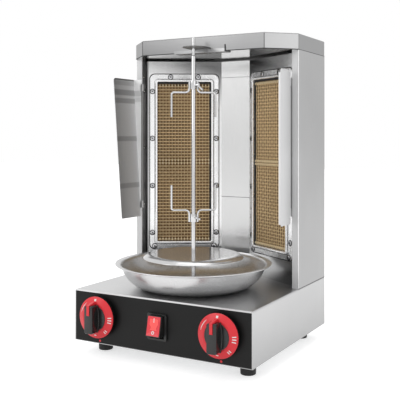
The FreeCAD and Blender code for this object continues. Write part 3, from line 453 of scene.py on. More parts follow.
def bright_steel(label, factor=1.0, rough=0.13, direction=UPRIGHT, **tone):
    """The bright rolled sheet inside the tower."""
    return sheet_steel("Bright sheet " + label, colour("bright", factor), direction, rough,
                       grain=0.05, drift=0.05, bump=0.02, **tone)


def polished_steel(label="bar", factor=1.0, rough=0.07, **tone):
    """Polished stainless with only faint hairlines."""
    return sheet_steel("Polished steel " + label, colour("polished", factor), (30.0, 30.0, 30.0),
                       rough, grain=0.04, drift=0.05, bump=0.012, **tone)


def plain_zinc():
    """Grey zinc-coated sheet of the inner parts."""
    return sheet_steel("Plain zinc sheet", (0.5, 0.51, 0.52), EVEN, 0.38)


def turned_steel():
    """Turned steel of stems and coupling."""
    return sheet_steel("Turned steel", (0.5, 0.5, 0.51), EVEN, 0.3)


def black_trim_and_shade():
    """Matt black for the rivets' washers, and painted shade in seams, gaps and recesses."""
    return skin("Dark trim", (0.012, 0.012, 0.013), 0.6, 600.0, 0.2, 0.05)


def red_plastic():
    """Glossy red plastic and print."""
    return skin("Red plastic", colour("red"), 0.28, 700.0, 0.1, 0.03, specular_ior_level=0.35)


def white_print():
    """White printed ink."""
    return skin("White print", (0.85, 0.83, 0.82), 0.5, 2000.0, 0.05, 0.02)


# ---------------------------------------------------------------- pieces

class GrillPiece:
    """What every piece's operator shares."""

    bl_options = {"REGISTER", "UNDO"}


class GRILL_OT_base(GrillPiece, bpy.types.Operator):
    """Base box bent from sheet, its black control panel, bottom plate and feet"""

    bl_idname = "grill.base"
    bl_label = "Base"

    def execute(self, context):
        low, high = corners("base_housing")
        sheet, cut_edge, bend = 1.5, 0.2, size("bend")
        left, right = low.x + sheet, high.x - sheet
        section = rounded([
            (low.x, low.z), (low.x, high.z), (high.x, high.z), (high.x, low.z),
            (right, low.z), (right, high.z - sheet), (left, high.z - sheet), (left, low.z)],
            [cut_edge, bend, bend, cut_edge, cut_edge, bend - sheet, bend - sheet, cut_edge])
        shell = facing(prism(section, -high.y, -low.y))
        back = block((left, right), (high.y - sheet, high.y), (low.z, high.z - sheet))
        lip = block((left, right), (low.y, low.y + sheet), (high.z - 2.3, high.z - sheet))
        hem = block((left, right), (low.y - 0.25, low.y + 0.02), (low.z, low.z + 0.8))
        # Painted light and shade: the base's steel gets lighter towards the left and the top.
        piece("base_shell", [shell, back, lip, hem], "steel_brushed",
              housing_steel(LEVEL, "level", centre=(0.15, 0, 0.0985), lean=(-0.7, 0, 3.2)),
              ["base_housing"])
        dress(skin("Black panel", colour("panel"), 0.42, 1600.0, 0.12, 0.04,
                   specular_ior_level=0.24), "front_panel")
        dress(skin("Foot rubber", colour("black"), 0.6, 500.0, 0.25, 0.25), "rubber_feet")
        dress(plain_zinc(), "base_bottom_plate")
        half, rounding, level = 1.75, 1.74, 25.3
        disc = prism(rounded(rectangle(-half, half, -half, half), rounding, 8),
                     0, size("print_thick"))
        for side, _ in SIDES:
            ring_low, ring_high = corners(side + "_knob_ring")
            dot = facing(disc, ((ring_low.x + ring_high.x) / 2, low.y, level))
            piece(side + "_index_dot", [dot], "knob_red", red_plastic())
        return {"FINISHED"}


class GRILL_OT_tower(GrillPiece, bpy.types.Operator):
    """Columns, rear cover and the panels inside the tower"""

    bl_idname = "grill.tower"
    bl_label = "Tower"

    def execute(self, context):
        # Painted light and shade: the upright steel gets lighter towards the front and the top; the
        # return steel is a darker copy of it, painted shade on the columns' returns, the panels'
        # outer strips and the left hinge.
        upright = housing_steel(UPRIGHT, "upright", 0.76, centre=(0, 0.08, 0.3),
                                lean=(0, -1.1, 0.25))
        shaded = housing_steel(UPRIGHT, "return", 0.42, 0.4)
        for side, sign in SIDES:
            self.column(side, sign, upright, shaded)
            burner = Burner(side, sign)
            low, high = corners(side + "_burner_panel")
            # A dark strip along each burner panel's outer edge, painted shade.
            fold = block((62.3 * sign, 64.5 * sign), (-0.4, 0.05),
                         (low.z - burner.at[2], high.z - burner.at[2]))
            piece(side + "_panel_fold", [burner.put(fold)], "steel_bright", shaded)
        dress(upright, "rear_cover", "right_shield_hinge")
        dress(shaded, "left_shield_hinge")
        self.rivets()
        # Painted reflection and shade: each burner panel gets darker towards the top and towards
        # the tower's middle; the centre panel gets lighter towards the top.
        for side, sign in SIDES:
            dress(bright_steel(side, 0.8, centre=(0.08 * sign, 0, 0.425), lean=(8 * sign, 0, -15)),
                  side + "_burner_panel")
        dress(bright_steel("centre", 0.9, centre=(0, 0, 0.306), lean=(0, 0, 0.8), metallic=0.75),
              "centre_panel")
        dress(bright_steel("ceiling", 1.0, 0.07, LEVEL), "ceiling_plate")
        low, high = corners("centre_panel")
        for label, level, half in (("seam", 227, 0.45), ("crease", 433.5, 0.3)):
            line = block((low.x, high.x), (low.y - 0.3, low.y), (level - half, level + half))
            piece("centre_" + label, [line], "steel_bright",
                  housing_steel(LEVEL, "seam", 0.35, 0.3))
        return {"FINISHED"}

    def column(self, side, sign, upright, shaded):
        """One column's bent sheet and its folded return, with skins on its front and front bend.
        The front skin is a lighter copy of the housing steel, painted light, and the bend skin a
        bright strip, a painted highlight.
        """
        low, high = corners(side + "_column")
        outer, inner = (high.x, low.x) if sign > 0 else (low.x, high.x)
        sheet, fold, z = 1.2, 11.3, (low.z, high.z)

        def from_outer(distance):
            """A distance inwards from the column's outer side."""
            return outer - distance * sign

        casing = rounded([
            (outer, high.y), (outer, low.y), (inner, low.y), (inner, low.y + sheet),
            (from_outer(sheet), low.y + sheet), (from_outer(sheet), high.y)],
            [0.1, 2.2, 0.9, 0.1, 1.0, 0.1])
        back = block((inner, inner + sheet * sign), (low.y + sheet, low.y + fold), z)
        front = low.y - 0.06
        face = block((inner + 0.6 * sign, from_outer(2.6)), (front, low.y), z)
        bend = prism([(from_outer(1.9), front), (from_outer(0.5), front + 0.2),
                      (from_outer(0.5), low.y + 0.5), (from_outer(1.9), low.y)], *z)
        # Painted light: a lighter front skin and a bright bend strip, a painted highlight.
        for label, shape, steel in (
                ("casing", prism(casing, *z), upright), ("return", back, shaded),
                ("front", face, housing_steel(UPRIGHT, "front", 1.15, 0.36, metallic=0.3)),
                ("bend", bend, bright_steel("bend", 1.2, 0.2, metallic=0.5))):
            piece("%s_%s" % (side, label), [shape], "steel_brushed", steel, [side + "_column"])

    def rivets(self):
        """Rivets of the shields' hinges: a low dome whose height falls with the square of the
        distance from the middle, on a dark washer."""
        r = np.linspace(0, 1, 6)
        dome = np.vstack([np.column_stack([r * 1.5, 0.3 + 0.8 * (1 - r ** 2)]), [[1.5, 0], [0, 0]]])
        washer = rectangle(1.4, 2.9, 0, 0.35)
        for side, sign in SIDES:
            heads, washers = [], []
            for level, x in ((433.6, 138), (409.2, 137), (311.7, 137), (215.1, 137)):
                ways = ((0, 1, 0), (0, 0, -sign), (-sign, 0, 0), (x * sign, 31, level))
                heads.append(laid(revolved(dome, 16, closed=False), *ways))
                washers.append(laid(revolved(washer, 20), *ways))
            piece(side + "_hinge_rivets", heads, "screw_chrome", bright_steel("rivet", 1.0, 0.2))
            piece(side + "_hinge_washers", washers, "foot_rubber", black_trim_and_shade())


class GRILL_OT_hood(GrillPiece, bpy.types.Operator):
    """Shallow lid with cut front corners, and the clip that holds the spit's upper end"""

    bl_idname = "grill.hood"
    bl_label = "Hood"

    def execute(self, context):
        low, high = corners("hood_shell")
        bend, sheet, cut = 1.6, 1.2, 40

        def ring(inset, level, radius):
            """The lid's outline drawn in by an inset, at one level."""
            less = cut - inset * (2 - math.sqrt(2))
            left, right, front, back = low.x + inset, high.x - inset, low.y + inset, high.y - inset
            return at_level(rounded([
                (right, back), (left, back), (left, front + less), (left + less, front),
                (right - less, front), (right, front + less)], radius, 5), level)

        def pole(level):
            """A ring with all its points over the lid's middle."""
            return ring(0, 0, bend) * 0 + (0, (low.y + high.y) / 2, level)

        under = high.z - sheet
        rings = [pole(under), ring(sheet, under, 0.4), ring(sheet, low.z, 0.4),
                 ring(0, low.z, bend)]
        rings += [ring(bend * (1 - math.cos(a)), high.z - bend * (1 - math.sin(a)), bend)
                  for a in np.linspace(0, math.pi / 2, 6)]
        rings.append(pole(high.z))
        # Painted light and shade: the lid's steel gets lighter towards the right.
        piece("lid", [grid(np.stack(rings))], "steel_brushed",
              housing_steel(LEVEL, "lid", 0.5, 0.3, centre=(0.02, 0, 0), lean=(2.4, 0, 0)),
              ["hood_shell"])
        self.walls(low, high, cut, bend)
        self.clip()
        self.seams()
        return {"FINISHED"}

    def walls(self, low, high, cut, bend):
        """Skins on the lid's cut corners and sides: thin sheets between two corners of the
        outline, which leave the bends free. They are copies of the lid's steel in other tones, each
        face painted its own light and shade; the cut skins also get lighter towards the right."""
        gap, proud = 1.3, 0.07
        plan = np.array([(low.x, high.y), (low.x, low.y + cut), (low.x + cut, low.y),
                         (high.x - cut, low.y), (high.x, low.y + cut), (high.x, high.y)])

        def skin_from(corner):
            """The skin between one corner and the next, proud of the wall by the same depth."""
            start, finish = plan[corner:corner + 2]
            way = (finish - start) / np.linalg.norm(finish - start)
            out = np.array([way[1], -way[0]]) * proud
            a, b = start + way * gap, finish - way * gap
            return prism([a, b, b + out, a + out], low.z + 0.7, high.z - bend)

        piece("lid_cuts", [skin_from(1), skin_from(3)], "steel_brushed",
              housing_steel(LEVEL, "cut", 0.71, 0.3, lean=(1.7, 0, 0)), ["hood_shell"])
        piece("lid_sides", [skin_from(0), skin_from(4)], "steel_brushed",
              housing_steel(LEVEL, "side", 0.633, 0.3), ["hood_shell"])

    def seams(self):
        """Shadow lines where the hood meets the columns and the ceiling, where the columns stand
        on the base, and on the lid's front corners: thin flat strips."""
        side, proud, corner = 150, 0.1, 110
        strips = [block((sign * (side + proud - 0.6), sign * (side + proud)), (26, 139), z)
                  for z in ((464.1, 464.8), (98.2, 98.9)) for sign in (-1, 1)]
        edge = np.array([(-side, 25.25), (-corner, -14.75), (corner, -14.75), (side, 25.25)])
        strips.append(prism(np.vstack([edge - (0, 0.14), (edge + (0, 0.7))[::-1]]), 463.9, 465.2))
        strips += [block((x - 0.35, x + 0.35), (-14.85, -14.5), (465, 487.4))
                   for x in (-corner, corner)]
        piece("hood_seams", strips, "foot_rubber", black_trim_and_shade())

    def clip(self):
        """Clip strip folded round the hood's lower front edge, and a tongue whose end is the
        circle through both side points and the tip. The tongue and the foot under the edge take a
        darker copy of the steel, painted shade; the strip gets lighter towards the right, painted
        light; a dark block at the strip's right end is painted shade."""
        low, high = corners("spit_top_bracket")
        edge, under, sheet, rise = -14.75, 464.5, 1.2, 5
        tongue = housing_steel(LEVEL, "tongue", 0.32, 0.3)
        front = block((low.x, high.x), (edge - sheet, edge), (under - sheet, under + 4), 0.25)
        piece("clip_strip", [front], "steel_plain",
              housing_steel(LEVEL, "clip", 0.78, 0.24, centre=(0.03, 0, 0), lean=(5, 0, 0)),
              ["spit_top_bracket"])
        below = block((low.x, high.x), (edge, edge + 18), (under - sheet, under))
        piece("clip_foot", [below], "steel_plain", tongue, ["spit_top_bracket"])
        stop = block((high.x - 0.9, high.x), (edge - 1.5, edge), (under - 1, high.z + 3.6))
        piece("clip_end", [stop], "steel_plain", black_trim_and_shade())
        outer = traced([(-18.5, -1.2), (-18.5, -18.75), (18.5, -18.75, (0, -37.25)),
                        (18.5, -1.2)], 28) + (0, edge)
        hole, radius = np.array([0, edge - 21.75]), 2.7
        inner = hole + radius * (outer - hole) / np.linalg.norm(outer - hole, axis=1)[:, None]
        bottom, top = under + rise, under + rise + sheet
        rings = [at_level(outer, bottom), at_level(outer, top), at_level(inner, top),
                 at_level(inner, bottom)]
        piece("clip_tongue", [grid(np.stack(rings), wrap_rows=True)], "steel_plain", tongue,
              ["spit_top_bracket"])


class GRILL_OT_shields(GrillPiece, bpy.types.Operator):
    """Two unlike side leaves on their hinges"""

    bl_idname = "grill.shields"
    bl_label = "Side shields"

    foot, head = 194.7, 429

    def execute(self, context):
        # Painted light: the right leaf takes a lighter copy of the housing steel.
        dress(housing_steel(UPRIGHT, "right leaf", 1.38, 0.35, metallic=0.4), "right_shield")
        for name, shapes, steel in (self.left_leaf(), self.left_flange(), self.knuckles()):
            piece(name, shapes, "steel_brushed", steel, ["left_shield"], "left_shield")
        return {"FINISHED"}

    def left_leaf(self):
        """Leaf between the bend and the front edge, both straight lines that lean outward: a
        plane ruled from one to the other, with its two front corners rounded. Across the leaf s
        runs from the front to the bend, and up the leaf t runs from the foot to the head."""
        wide, tall = 51.5, self.head - self.foot
        outline = rounded(rectangle(0, wide, 0, tall), [2, 0.2, 0.2, 5])
        s, t = outline[:, :1] / wide, outline[:, 1:] / tall
        outside = between(between((-142.8, -27.3, self.foot), (-139.4, 23.2, self.foot), s),
                          between((-155.5, -33.1, self.head), (-154.3, 23.2, self.head), s), t)
        # Painted light and shade: the leaf is a lighter copy of the housing steel that darkens
        # towards its front edge; the two top bands are painted shade along the top edge and the hem
        # under it, and the lower bands darken level lines.
        steel = housing_steel(LEVEL, "left leaf", 1.28, 0.45, centre=(0, 0.02, 0),
                              lean=(0, 11, 0), metallic=0.12, grain=0.2)
        banded(steel, ((427.9, 1.0, 0.3), (421.5, 3, 0.75), (405.7, 4.2, 0.58), (391.8, 3.6, 0.62),
                       (327.7, 3.6, 0.64), (248.9, 3.6, 0.68)))
        return "left_leaf", [grid(np.stack([outside, outside + (1, 0, 0)]), caps=True)], steel

    def left_flange(self):
        """Flange from the hinge to the bend, widening upwards: a plane ruled between its upright
        edge at the hinge and the leaning bend."""
        t = np.linspace(0, 1, 9)[:, None]
        near = between((-137.0, 24.0, self.foot), (-137.0, 24.0, self.head), t)
        far = between((-139.4, 24.0, self.foot), (-154.3, 24.0, self.head), t)
        rows = np.stack([near, far, far - (0, 1, 0), near - (0, 1, 0)], axis=1)
        # Painted light: the flange takes a lighter copy of the bright sheet; its two bands darken
        # two level lines.
        steel = bright_steel("flange", 1.25, 0.6, metallic=0.6)
        banded(steel, ((405, 4.5, 0.78), (395, 3.5, 0.86)))
        return "left_flange", [grid(rows, caps=True)], steel

    def knuckles(self):
        """Moving knuckles of the left leaf's hinge with the tabs that join them to its flange."""
        shapes = []
        for start in (209.4, 409.3):
            z = (start, start + 11.7)
            shapes.append(turned(revolved(rectangle(1.25, 2.2, *z), 24), 0, (-135.6, 23.6, 0)))
            shapes.append(block((-139.4, -137.2), (23, 24), z))
        return "left_knuckles", shapes, housing_steel(UPRIGHT, "knuckle", 0.8, 0.3, metallic=0.6)


def banded(material, bands):
    """Level bands across a sheet, each (height, half width, share of the tone that is left), laid
    over the colour that already feeds the material's shader."""
    tree = material.node_tree
    if "Bands" in tree.nodes:
        return
    low, high, soft = 190, 440, 1.2
    stops = [(low, 1.0)]
    for level, half, left in sorted(bands):
        stops += [(level - half - soft, 1.0), (level - half, left),
                  (level + half, left), (level + half + soft, 1.0)]
    place = add(tree, "ShaderNodeTexCoord").outputs["Object"]
    height = add(tree, "ShaderNodeSeparateXYZ", {0: place}).outputs["Z"]
    ramp = add(tree, "ShaderNodeValToRGB", {
        "Fac": ranged(tree, height, low * MM, high * MM)}, name="Bands")
    elements = ramp.color_ramp.elements
    while len(elements) < len(stops):
        elements.new(0.5)
    places = sorted((min(max((z - low) / (high - low), 0), 1), tone) for z, tone in stops)
    for element, (at, tone) in zip(elements, places):
        element.position = at
        element.color = (tone, tone, tone, 1)
    shader = tree.nodes["Principled BSDF"]
    plain = shader.inputs["Base Color"].links[0].from_socket
    mixed = add(tree, "ShaderNodeMix", {0: 1.0, 6: plain, 7: ramp.outputs["Color"]},
                data_type="RGBA", blend_type="MULTIPLY")
    feed(tree, shader, {"Base Color": mixed.outputs[2]})


class Burner:
    """One burner's own frame: X along its panel, Y to its back, Z up from its middle."""

    wide, tall, turn = 93, 276, 32

    def __init__(self, side, sign):
        low, high = corners(side + "_burner_frame")
        self.side, self.sign = side, sign
        self.at = (82 * sign, 74, (low.z + high.z) / 2)

    def put(self, shape):
        """A shape of the burner's own frame in the grill's frame."""
        return turned(shape, -self.turn * self.sign, self.at)

    def piece(self, name, shapes, slot, material, **more):
        """A piece of shapes in the burner's own frame, named for its side."""
        piece(self.side + name, [self.put(shape) for shape in shapes], slot, material, **more)

    def border(self, section, radii, notch=None, steps=6, spacing=2):
        """A closed section carried round the window. Section point (u, d) lies on the rectangle
        that is larger by u on every side, d in front of its plane. radii gives the corner radius
        for each section point. A notch (depth, half height, levels) cuts the outermost points
        back. Each ring is one half and the same half turned about the middle."""
        across, along = int(self.wide / spacing), int(self.tall / spacing)
        bend = np.linspace(0, math.pi / 2, steps + 1)
        outermost = section[:, 0].max()
        rows = []
        for (u, depth), radius in zip(section, radii):
            a, b = self.wide / 2 + u, self.tall / 2 + u
            flat_x = np.linspace(-1, 1, across) * (a - radius)
            flat_z = np.linspace(-1, 1, along) * (b - radius)
            pull = np.zeros(along)
            if notch and u > outermost - 1e-6:
                pull = notch[0] * (np.abs(flat_z[:, None] - notch[2]) < notch[1]).any(1)
            sin, cos = radius * np.sin(bend), radius * np.cos(bend)

            def half(pull):
                """Foot, corner, side and corner of the ring: lines and quarter circles."""
                return np.concatenate([
                    np.stack([flat_x, np.full(across, -b)], 1),
                    np.stack([a - radius + sin, radius - b - cos], 1),
                    np.stack([a - pull, flat_z], 1),
                    np.stack([a - radius + cos, b - radius + sin], 1)])

            ring = np.concatenate([half(pull), -half(pull[::-1])])
            rows.append(np.column_stack([ring[:, 0], np.full(len(ring), -depth), ring[:, 1]]))
        return grid(np.stack(rows), wrap_rows=True)


class GRILL_OT_burners(GrillPiece, bpy.types.Operator):
    """Pressed frames, woven screens, ceramic plaques and screws of the two burners"""

    bl_idname = "grill.burners"
    bl_label = "Burners"

    def execute(self, context):
        ceramic = skin("Burner ceramic", colour("plaque"), 0.85, 260.0, 0.35, 0.4)
        screws = []
        for side, sign in SIDES:
            burner = Burner(side, sign)
            self.frame(burner)
            self.screen(burner)
            self.trim(burner)
            screws.append(burner.put(self.screws()))
            dress(ceramic, side + "_upper_plaque", side + "_lower_plaque")
            dress(plain_zinc(), side + "_burner_head", side + "_mixing_tube")
        piece("frame_screws", screws, "screw_chrome",
              sheet_steel("Screw steel", (0.6, 0.6, 0.61), EVEN, 0.14), ["burner_screws"])
        return {"FINISHED"}

    def frame(self, burner):
        """Flat flange, raised rim and folded inner edge, carried round the window."""
        flange, rim, top, edge = 1.5, 4.0, 5.5, 13.25
        section = np.vstack([
            traced([(0, 0.1), (0, top - 1), (1, top, (0.3, top - 0.3)), (rim - 1.2, top),
                    (rim, top - 1.2, (rim - 0.35, top - 0.35)), (rim, flange + 0.9),
                    (rim + 0.9, flange, (rim + 0.26, flange + 0.26))], 4),
            traced([(edge - 0.6, flange), (edge, flange - 0.6, (edge - 0.18, flange - 0.18)),
                    (edge, 0)], 3)])
        radii = np.interp(section[:, 0], [0, edge], [2, 9])
        steel = sheet_steel("Pressed frame steel", (0.92, 0.92, 0.925), (2.0, 2.0, 2.0), 0.2,
                            grain=0.03, drift=0.04, bump=0.0, metallic=0.9)
        clamps = (4, 3, np.array([-126.8, 0.6, 127.4]))
        burner.piece("_pressed_frame", [burner.border(section, radii, clamps)], "steel_frame",
                     steel, stands_for=[burner.side + "_burner_frame"])

    def screen(self, burner):
        """Plain weave: upright wire i follows y = c cos(pi z / p + pi i), and level wire k follows
        y = -c cos(pi x / p + pi k), so each passes over and under in turn. Rows of curled wire
        ends lie over the screen's ends and middle."""
        pitch, wire, crimp = size("mesh_pitch"), size("mesh_wire"), size("mesh_crimp")
        columns, rows = int(burner.wide / pitch), int(burner.tall / pitch)
        middle, margin, stretch = 0.25, 0.4, (6.0, 6.0, 6.0)
        mesh = {"stands_for": [burner.side + "_burner_mesh"], "crease": 60}
        # Painted light and shade: upright and level wires, and the two burners' screens, take
        # lighter and darker copies of the screen's colour.
        upright, level = (0.66, 1.04) if burner.sign < 0 else (0.84, 0.96)
        for way, factor, count, reach, crossings, swing, axes in (
                ("upright", upright, columns, burner.tall, rows, crimp, (0, 1, 2)),
                ("level", level, rows, burner.wide, columns, -crimp, (2, 1, 0))):
            end = reach / 2 - margin
            along = np.linspace(-end, end, crossings * 4)[None]
            number = np.arange(count)[:, None]
            off = middle + swing * np.cos(
                math.pi * (along / pitch + (crossings - 1) / 2 + number))
            across = (number - (count - 1) / 2) * pitch
            paths = np.stack(np.broadcast_arrays(across, off, along), -1)[..., axes]
            steel = sheet_steel("%s screen wire %s" % (burner.side, way), colour("screen", factor),
                                stretch, 0.3, grain=0.12, drift=0.18, bump=0.1, metallic=0.7)
            burner.piece("_screen_" + way,
                         [tube(path, wire, np.eye(3)[axes[0]], 6) for path in paths],
                         "mesh_brass", steel, **mesh)
        # Painted light: the curled wire ends take a brighter copy of the screen's colour, without
        # metal.
        curl = np.radians(np.linspace(-100, 190, 9))
        loop = np.column_stack([0 * curl, -1.2 * np.cos(curl), 1.3 * np.sin(curl)])
        curled = tube(loop, wire * 1.35, (1, 0, 0), 6)
        places = (np.arange(columns) - (columns - 1) / 2) * pitch
        burner.piece("_wire_ends", [copies(curled, [(x, -1.5, z) for x in places])
                                    for z in (131.6, 2.4, -2.8, -134.4)], "mesh_brass",
                     sheet_steel("Wire ends", (1.0, 0.84, 0.55), stretch, 0.25, grain=0.08,
                                 drift=0.1, metallic=0.0), **mesh)

    def trim(self, burner):
        """Painted shade in dark bands round the flange and in the rim's outer root, each a closed
        section carried round the window; a dark bar for the shade over the screen's upper end; the
        shade beside the screen's inner edge; dark rings round the screws and dark crosses for their
        recesses."""
        def band(inner, outer, low, high, radius):
            """A flat strip from inner to outer beyond the window's edge."""
            return burner.border(rectangle(inner, outer, low, high), [radius] * 4, spacing=20)

        inward, foot, head = -burner.sign, -137.5, 134.6
        shapes = [band(13.1, 14.5, -0.05, 0.35, 9.5), band(4.75, 5.35, 1.3, 1.56, 6.5),
                  block((-46.4, 46.4), (-2.3, -1.0), (head, 137.9)),
                  block((inward * 43.6, inward * 46.4), (-2.2, -1.6), (foot, head))]
        ring = facing(revolved([(3.7, 0), (4.75, 0), (4.75, 0.5), (3.7, 0.9)], 20), (0, -1.5, 0))
        slot = block((-2.3, 2.3), (-0.42, 0.42), (2.9, 3.12))
        c = math.sqrt(0.5)
        cross = [laid(slot, (c * s, 0, c), (-c, 0, c * s), (0, -1, 0)) for s in (1, -1)]
        shapes += [copies(shape, self.places()) for shape in (ring, *cross)]
        burner.piece("_frame_gasket", shapes, "foot_rubber", black_trim_and_shade())

    def places(self):
        """Centres of one frame's twelve screws, in the burner's own frame."""
        return [*((x, 0, z) for x in (-55.5, 55.5) for z in (-123.2, -41.8, 40.1, 121.5)),
                (-51.5, 0, -146.4), (51.5, 0, -146.4), (-24, 0, 146.4), (24, 0, 146.4)]

    def screws(self):
        """Low domes: height falls with the square of the distance from the middle."""
        r = np.linspace(0, 1, 7)
        radius, foot, rim = 4, 1.5, 2.0
        dome = np.column_stack([r * radius, rim + 1 - r ** 2])
        profile = np.vstack([dome, [(radius, foot), (0, foot)]])
        return copies(facing(revolved(profile, 20, closed=False)), self.places())


class GRILL_OT_spit(GrillPiece, bpy.types.Operator):
    """Spit rod, meat disc and the two forks with their clamp screws"""

    bl_idname = "grill.spit"
    bl_label = "Spit"

    def execute(self, context):
        steel = polished_steel()
        foot = block((-2.5, 2.5), (-2.5, 2.5), (101.2, 112.6))
        rod = revolved(traced([
            (0, 112.4), (3.1, 112.4), (3.1, 455.6), (2.9, 456.2), (2.35, 457), (2.35, 483.6),
            (1.2, 485, (1.95, 484.6)), (0, 485)]), 32, closed=False)
        piece("spit", [on_spit(foot), on_spit(rod)], "steel_polished", steel, ["spit_rod"], "spit")
        plate = revolved(traced([
            (3.15, 150.4), (65, 150.4), (77.2, 144.9, (72.8, 148.6)), (77.8, 144.0, (77.7, 144.4)),
            (76.8, 144.0), (65.2, 149.3, (71.8, 147.4)), (3.15, 149.3)]), 128)
        collar = revolved([(3.15, 144.0), (6.6, 144.0), (7, 144.4), (7, 149.6), (3.15, 149.6)], 40)
        piece("disc", [on_spit(plate), on_spit(collar)], "steel_polished",
              polished_steel("disc", 1.05, 0.11, metallic=0.8), ["meat_disc"], "spit")
        dress(steel, "upper_fork_screw", "lower_fork_screw")
        dress(turned_steel(), "drive_coupling")
        self.fork("upper_fork", 411.3, 1, 11.7, 50.4, steel)
        self.fork("lower_fork", 205.0, -1, 12.2, 51.4, steel)
        return {"FINISHED"}

    def fork(self, fork, hub_z, sign, arm_drop, tine_drop, steel):
        """A hub on the rod and two bent wires, each a tube along lines and arcs."""
        near, half, wire, spread, turn = 6.4, 6.4, 1.6, 34.0, 35
        hub = revolved(traced([
            (3.2, -half), (4.5, -half), (4.9, -half + 0.4, (4.8, -half + 0.1)), (4.9, half - 0.4),
            (4.5, half, (4.8, half - 0.1)), (3.2, half)], 3), 32)
        shapes = [hub]
        for edge in (-1, 1):
            path = traced([
                (near, half - 0.4), (near, -5.2),
                (near + 6.5, -arm_drop, (near + 1.9, 1.9 - arm_drop)), (spread - 3.5, -arm_drop),
                (spread, -3.5 - arm_drop, (spread - 1.03, -1.03 - arm_drop)),
                (spread, 0.5 - tine_drop)], 8)
            flat = np.column_stack([path[:, 0] * edge, 0 * path[:, 0], path[:, 1] * sign])
            shapes.append(tube(flat, wire, (0, 1, 0), 16))
        name = fork.replace("_", "_wire_")
        piece(name, [on_spit(shape, turn, hub_z) for shape in shapes], "steel_polished", steel,
              [fork], fork)


class GRILL_OT_drip_pan(GrillPiece, bpy.types.Operator):
    """Round pan spun from sheet, with a flat rolled rim"""

    bl_idname = "grill.drip_pan"
    bl_label = "Drip pan"

    def execute(self, context):
        floor, rim = 98.5, 137.0
        profile = traced([
            (9.5, floor), (70, floor), (111.5, rim - 5, (94, floor + 8.3)),
            (115, rim - 2, (112.7, rim - 3)), (120, rim - 1.6),
            (121, rim - 0.8, (120.8, rim - 1.4)), (120, rim, (120.7, rim - 0.2)),
            (114.6, rim - 1), (110.4, rim - 4.6, (112, rim - 2.4)),
            (69.8, floor + 1, (93.2, floor + 9.2)), (10.5, floor + 1), (10.5, floor + 12),
            (9.5, floor + 12)], 14)
        piece("pan", [on_spit(revolved(profile, 160))], "steel_polished",
              polished_steel("pan", 1.05, 0.23, metallic=0.88), ["drip_pan"], "drip_pan")
        return {"FINISHED"}


class GRILL_OT_knobs(GrillPiece, bpy.types.Operator):
    """Gas knobs: black body with a bar grip, red ring with printed marks, red pointer"""

    bl_idname = "grill.knobs"
    bl_label = "Gas knobs"

    def execute(self, context):
        drum = revolved(traced([
            (0, 3.6), (30, 3.6), (30.35, 4.2), (30.35, 8.5), (19.2, 8.5), (19.0, 13.5),
            (18.0, 14.5, (18.7, 14.2)), (0, 14.5)], 4), 72, closed=False)
        grip = prism(rounded(rectangle(-7.5, 7.5, -20.5, 20.5), 3.0, 5), 14.3, 29, 1.2)
        bulge = traced([(-7.6, -20.2), (7.6, -20.2), (7.6, 20.2, (10.6, 0)), (-7.6, 20.2),
                        (-7.6, -20.2, (-10.6, 0))], 16)[:-1]
        skirt = prism(bulge, 14.3, 17.2, 0.7, 4)
        ring = revolved(traced([
            (19.1, 8.5), (30.4, 8.5), (30.75, 8.9), (30.75, 9.7), (30.4, 10.2, (30.66, 10.0)),
            (21.9, 13.35), (21.3, 13.5, (21.6, 13.45)), (19.1, 13.5)], 4), 96)
        black = skin("Knob black", colour("black", 1.1), 0.2, 800.0, 0.2, 0.04)
        for side, _ in SIDES:
            knob = side + "_knob"
            low, high = corners(knob + "_ring")
            at = ((low.x + high.x) / 2, -139, (low.z + high.z) / 2)
            for name, shapes, slot, finish, stands_for in (
                    (knob + "_body", (drum, grip, skirt), "knob_black", black, [knob]),
                    (side + "_ring", [ring], "knob_red", red_plastic(), [knob + "_ring"]),
                    (side + "_ring_marks", self.marks(), "knob_red", white_print(), ())):
                piece(name, [facing(shape, at) for shape in shapes], slot, finish, stands_for, knob)
            dress(red_plastic(), knob + "_pointer")
            dress(turned_steel(), side + "_valve_stem")
        return {"FINISHED"}

    def marks(self):
        """Prints on the ring's sloping face: patches bounded by two radii and two angles that
        stand off the cone whose height is 10.2 + 0.37 (30.4 - r)."""
        thick = size("print_thick")

        def patch(start, finish, inner, outer, taper=0.0):
            """A patch on the cone. A taper k slims it by k (1 - sin^0.7) towards both ends."""
            angle = np.radians(np.linspace(start, finish, 16))
            slim = taper * (1 - np.sin(np.linspace(0, math.pi, 16)) ** 0.7)
            middle, half = (inner + outer) / 2, (outer - inner) / 2
            r = np.stack([middle - half * (1 - slim), middle + half * (1 - slim)], 1)
            z = 10.2 + 0.37 * (30.4 - r)
            base = np.stack([r * np.sin(angle)[:, None], r * np.cos(angle)[:, None], z], -1)
            top = base + (0, 0, thick)
            return grid(np.stack([base[:, 0], base[:, 1], top[:, 1], top[:, 0]], axis=1), caps=True)

        return [patch(-3.6, 3.6, 24.6, 27.8), patch(-78, -38, 25.6, 26.6, 0.8),
                *(patch(start, start + 3, 23.2, 28.6) for start in (83.5, 91.5, 99.5)),
                patch(131, 134, 24.4, 28.2), patch(138, 141, 24.4, 28.2),
                patch(175, 184, 25.0, 26.4, 0.5)]


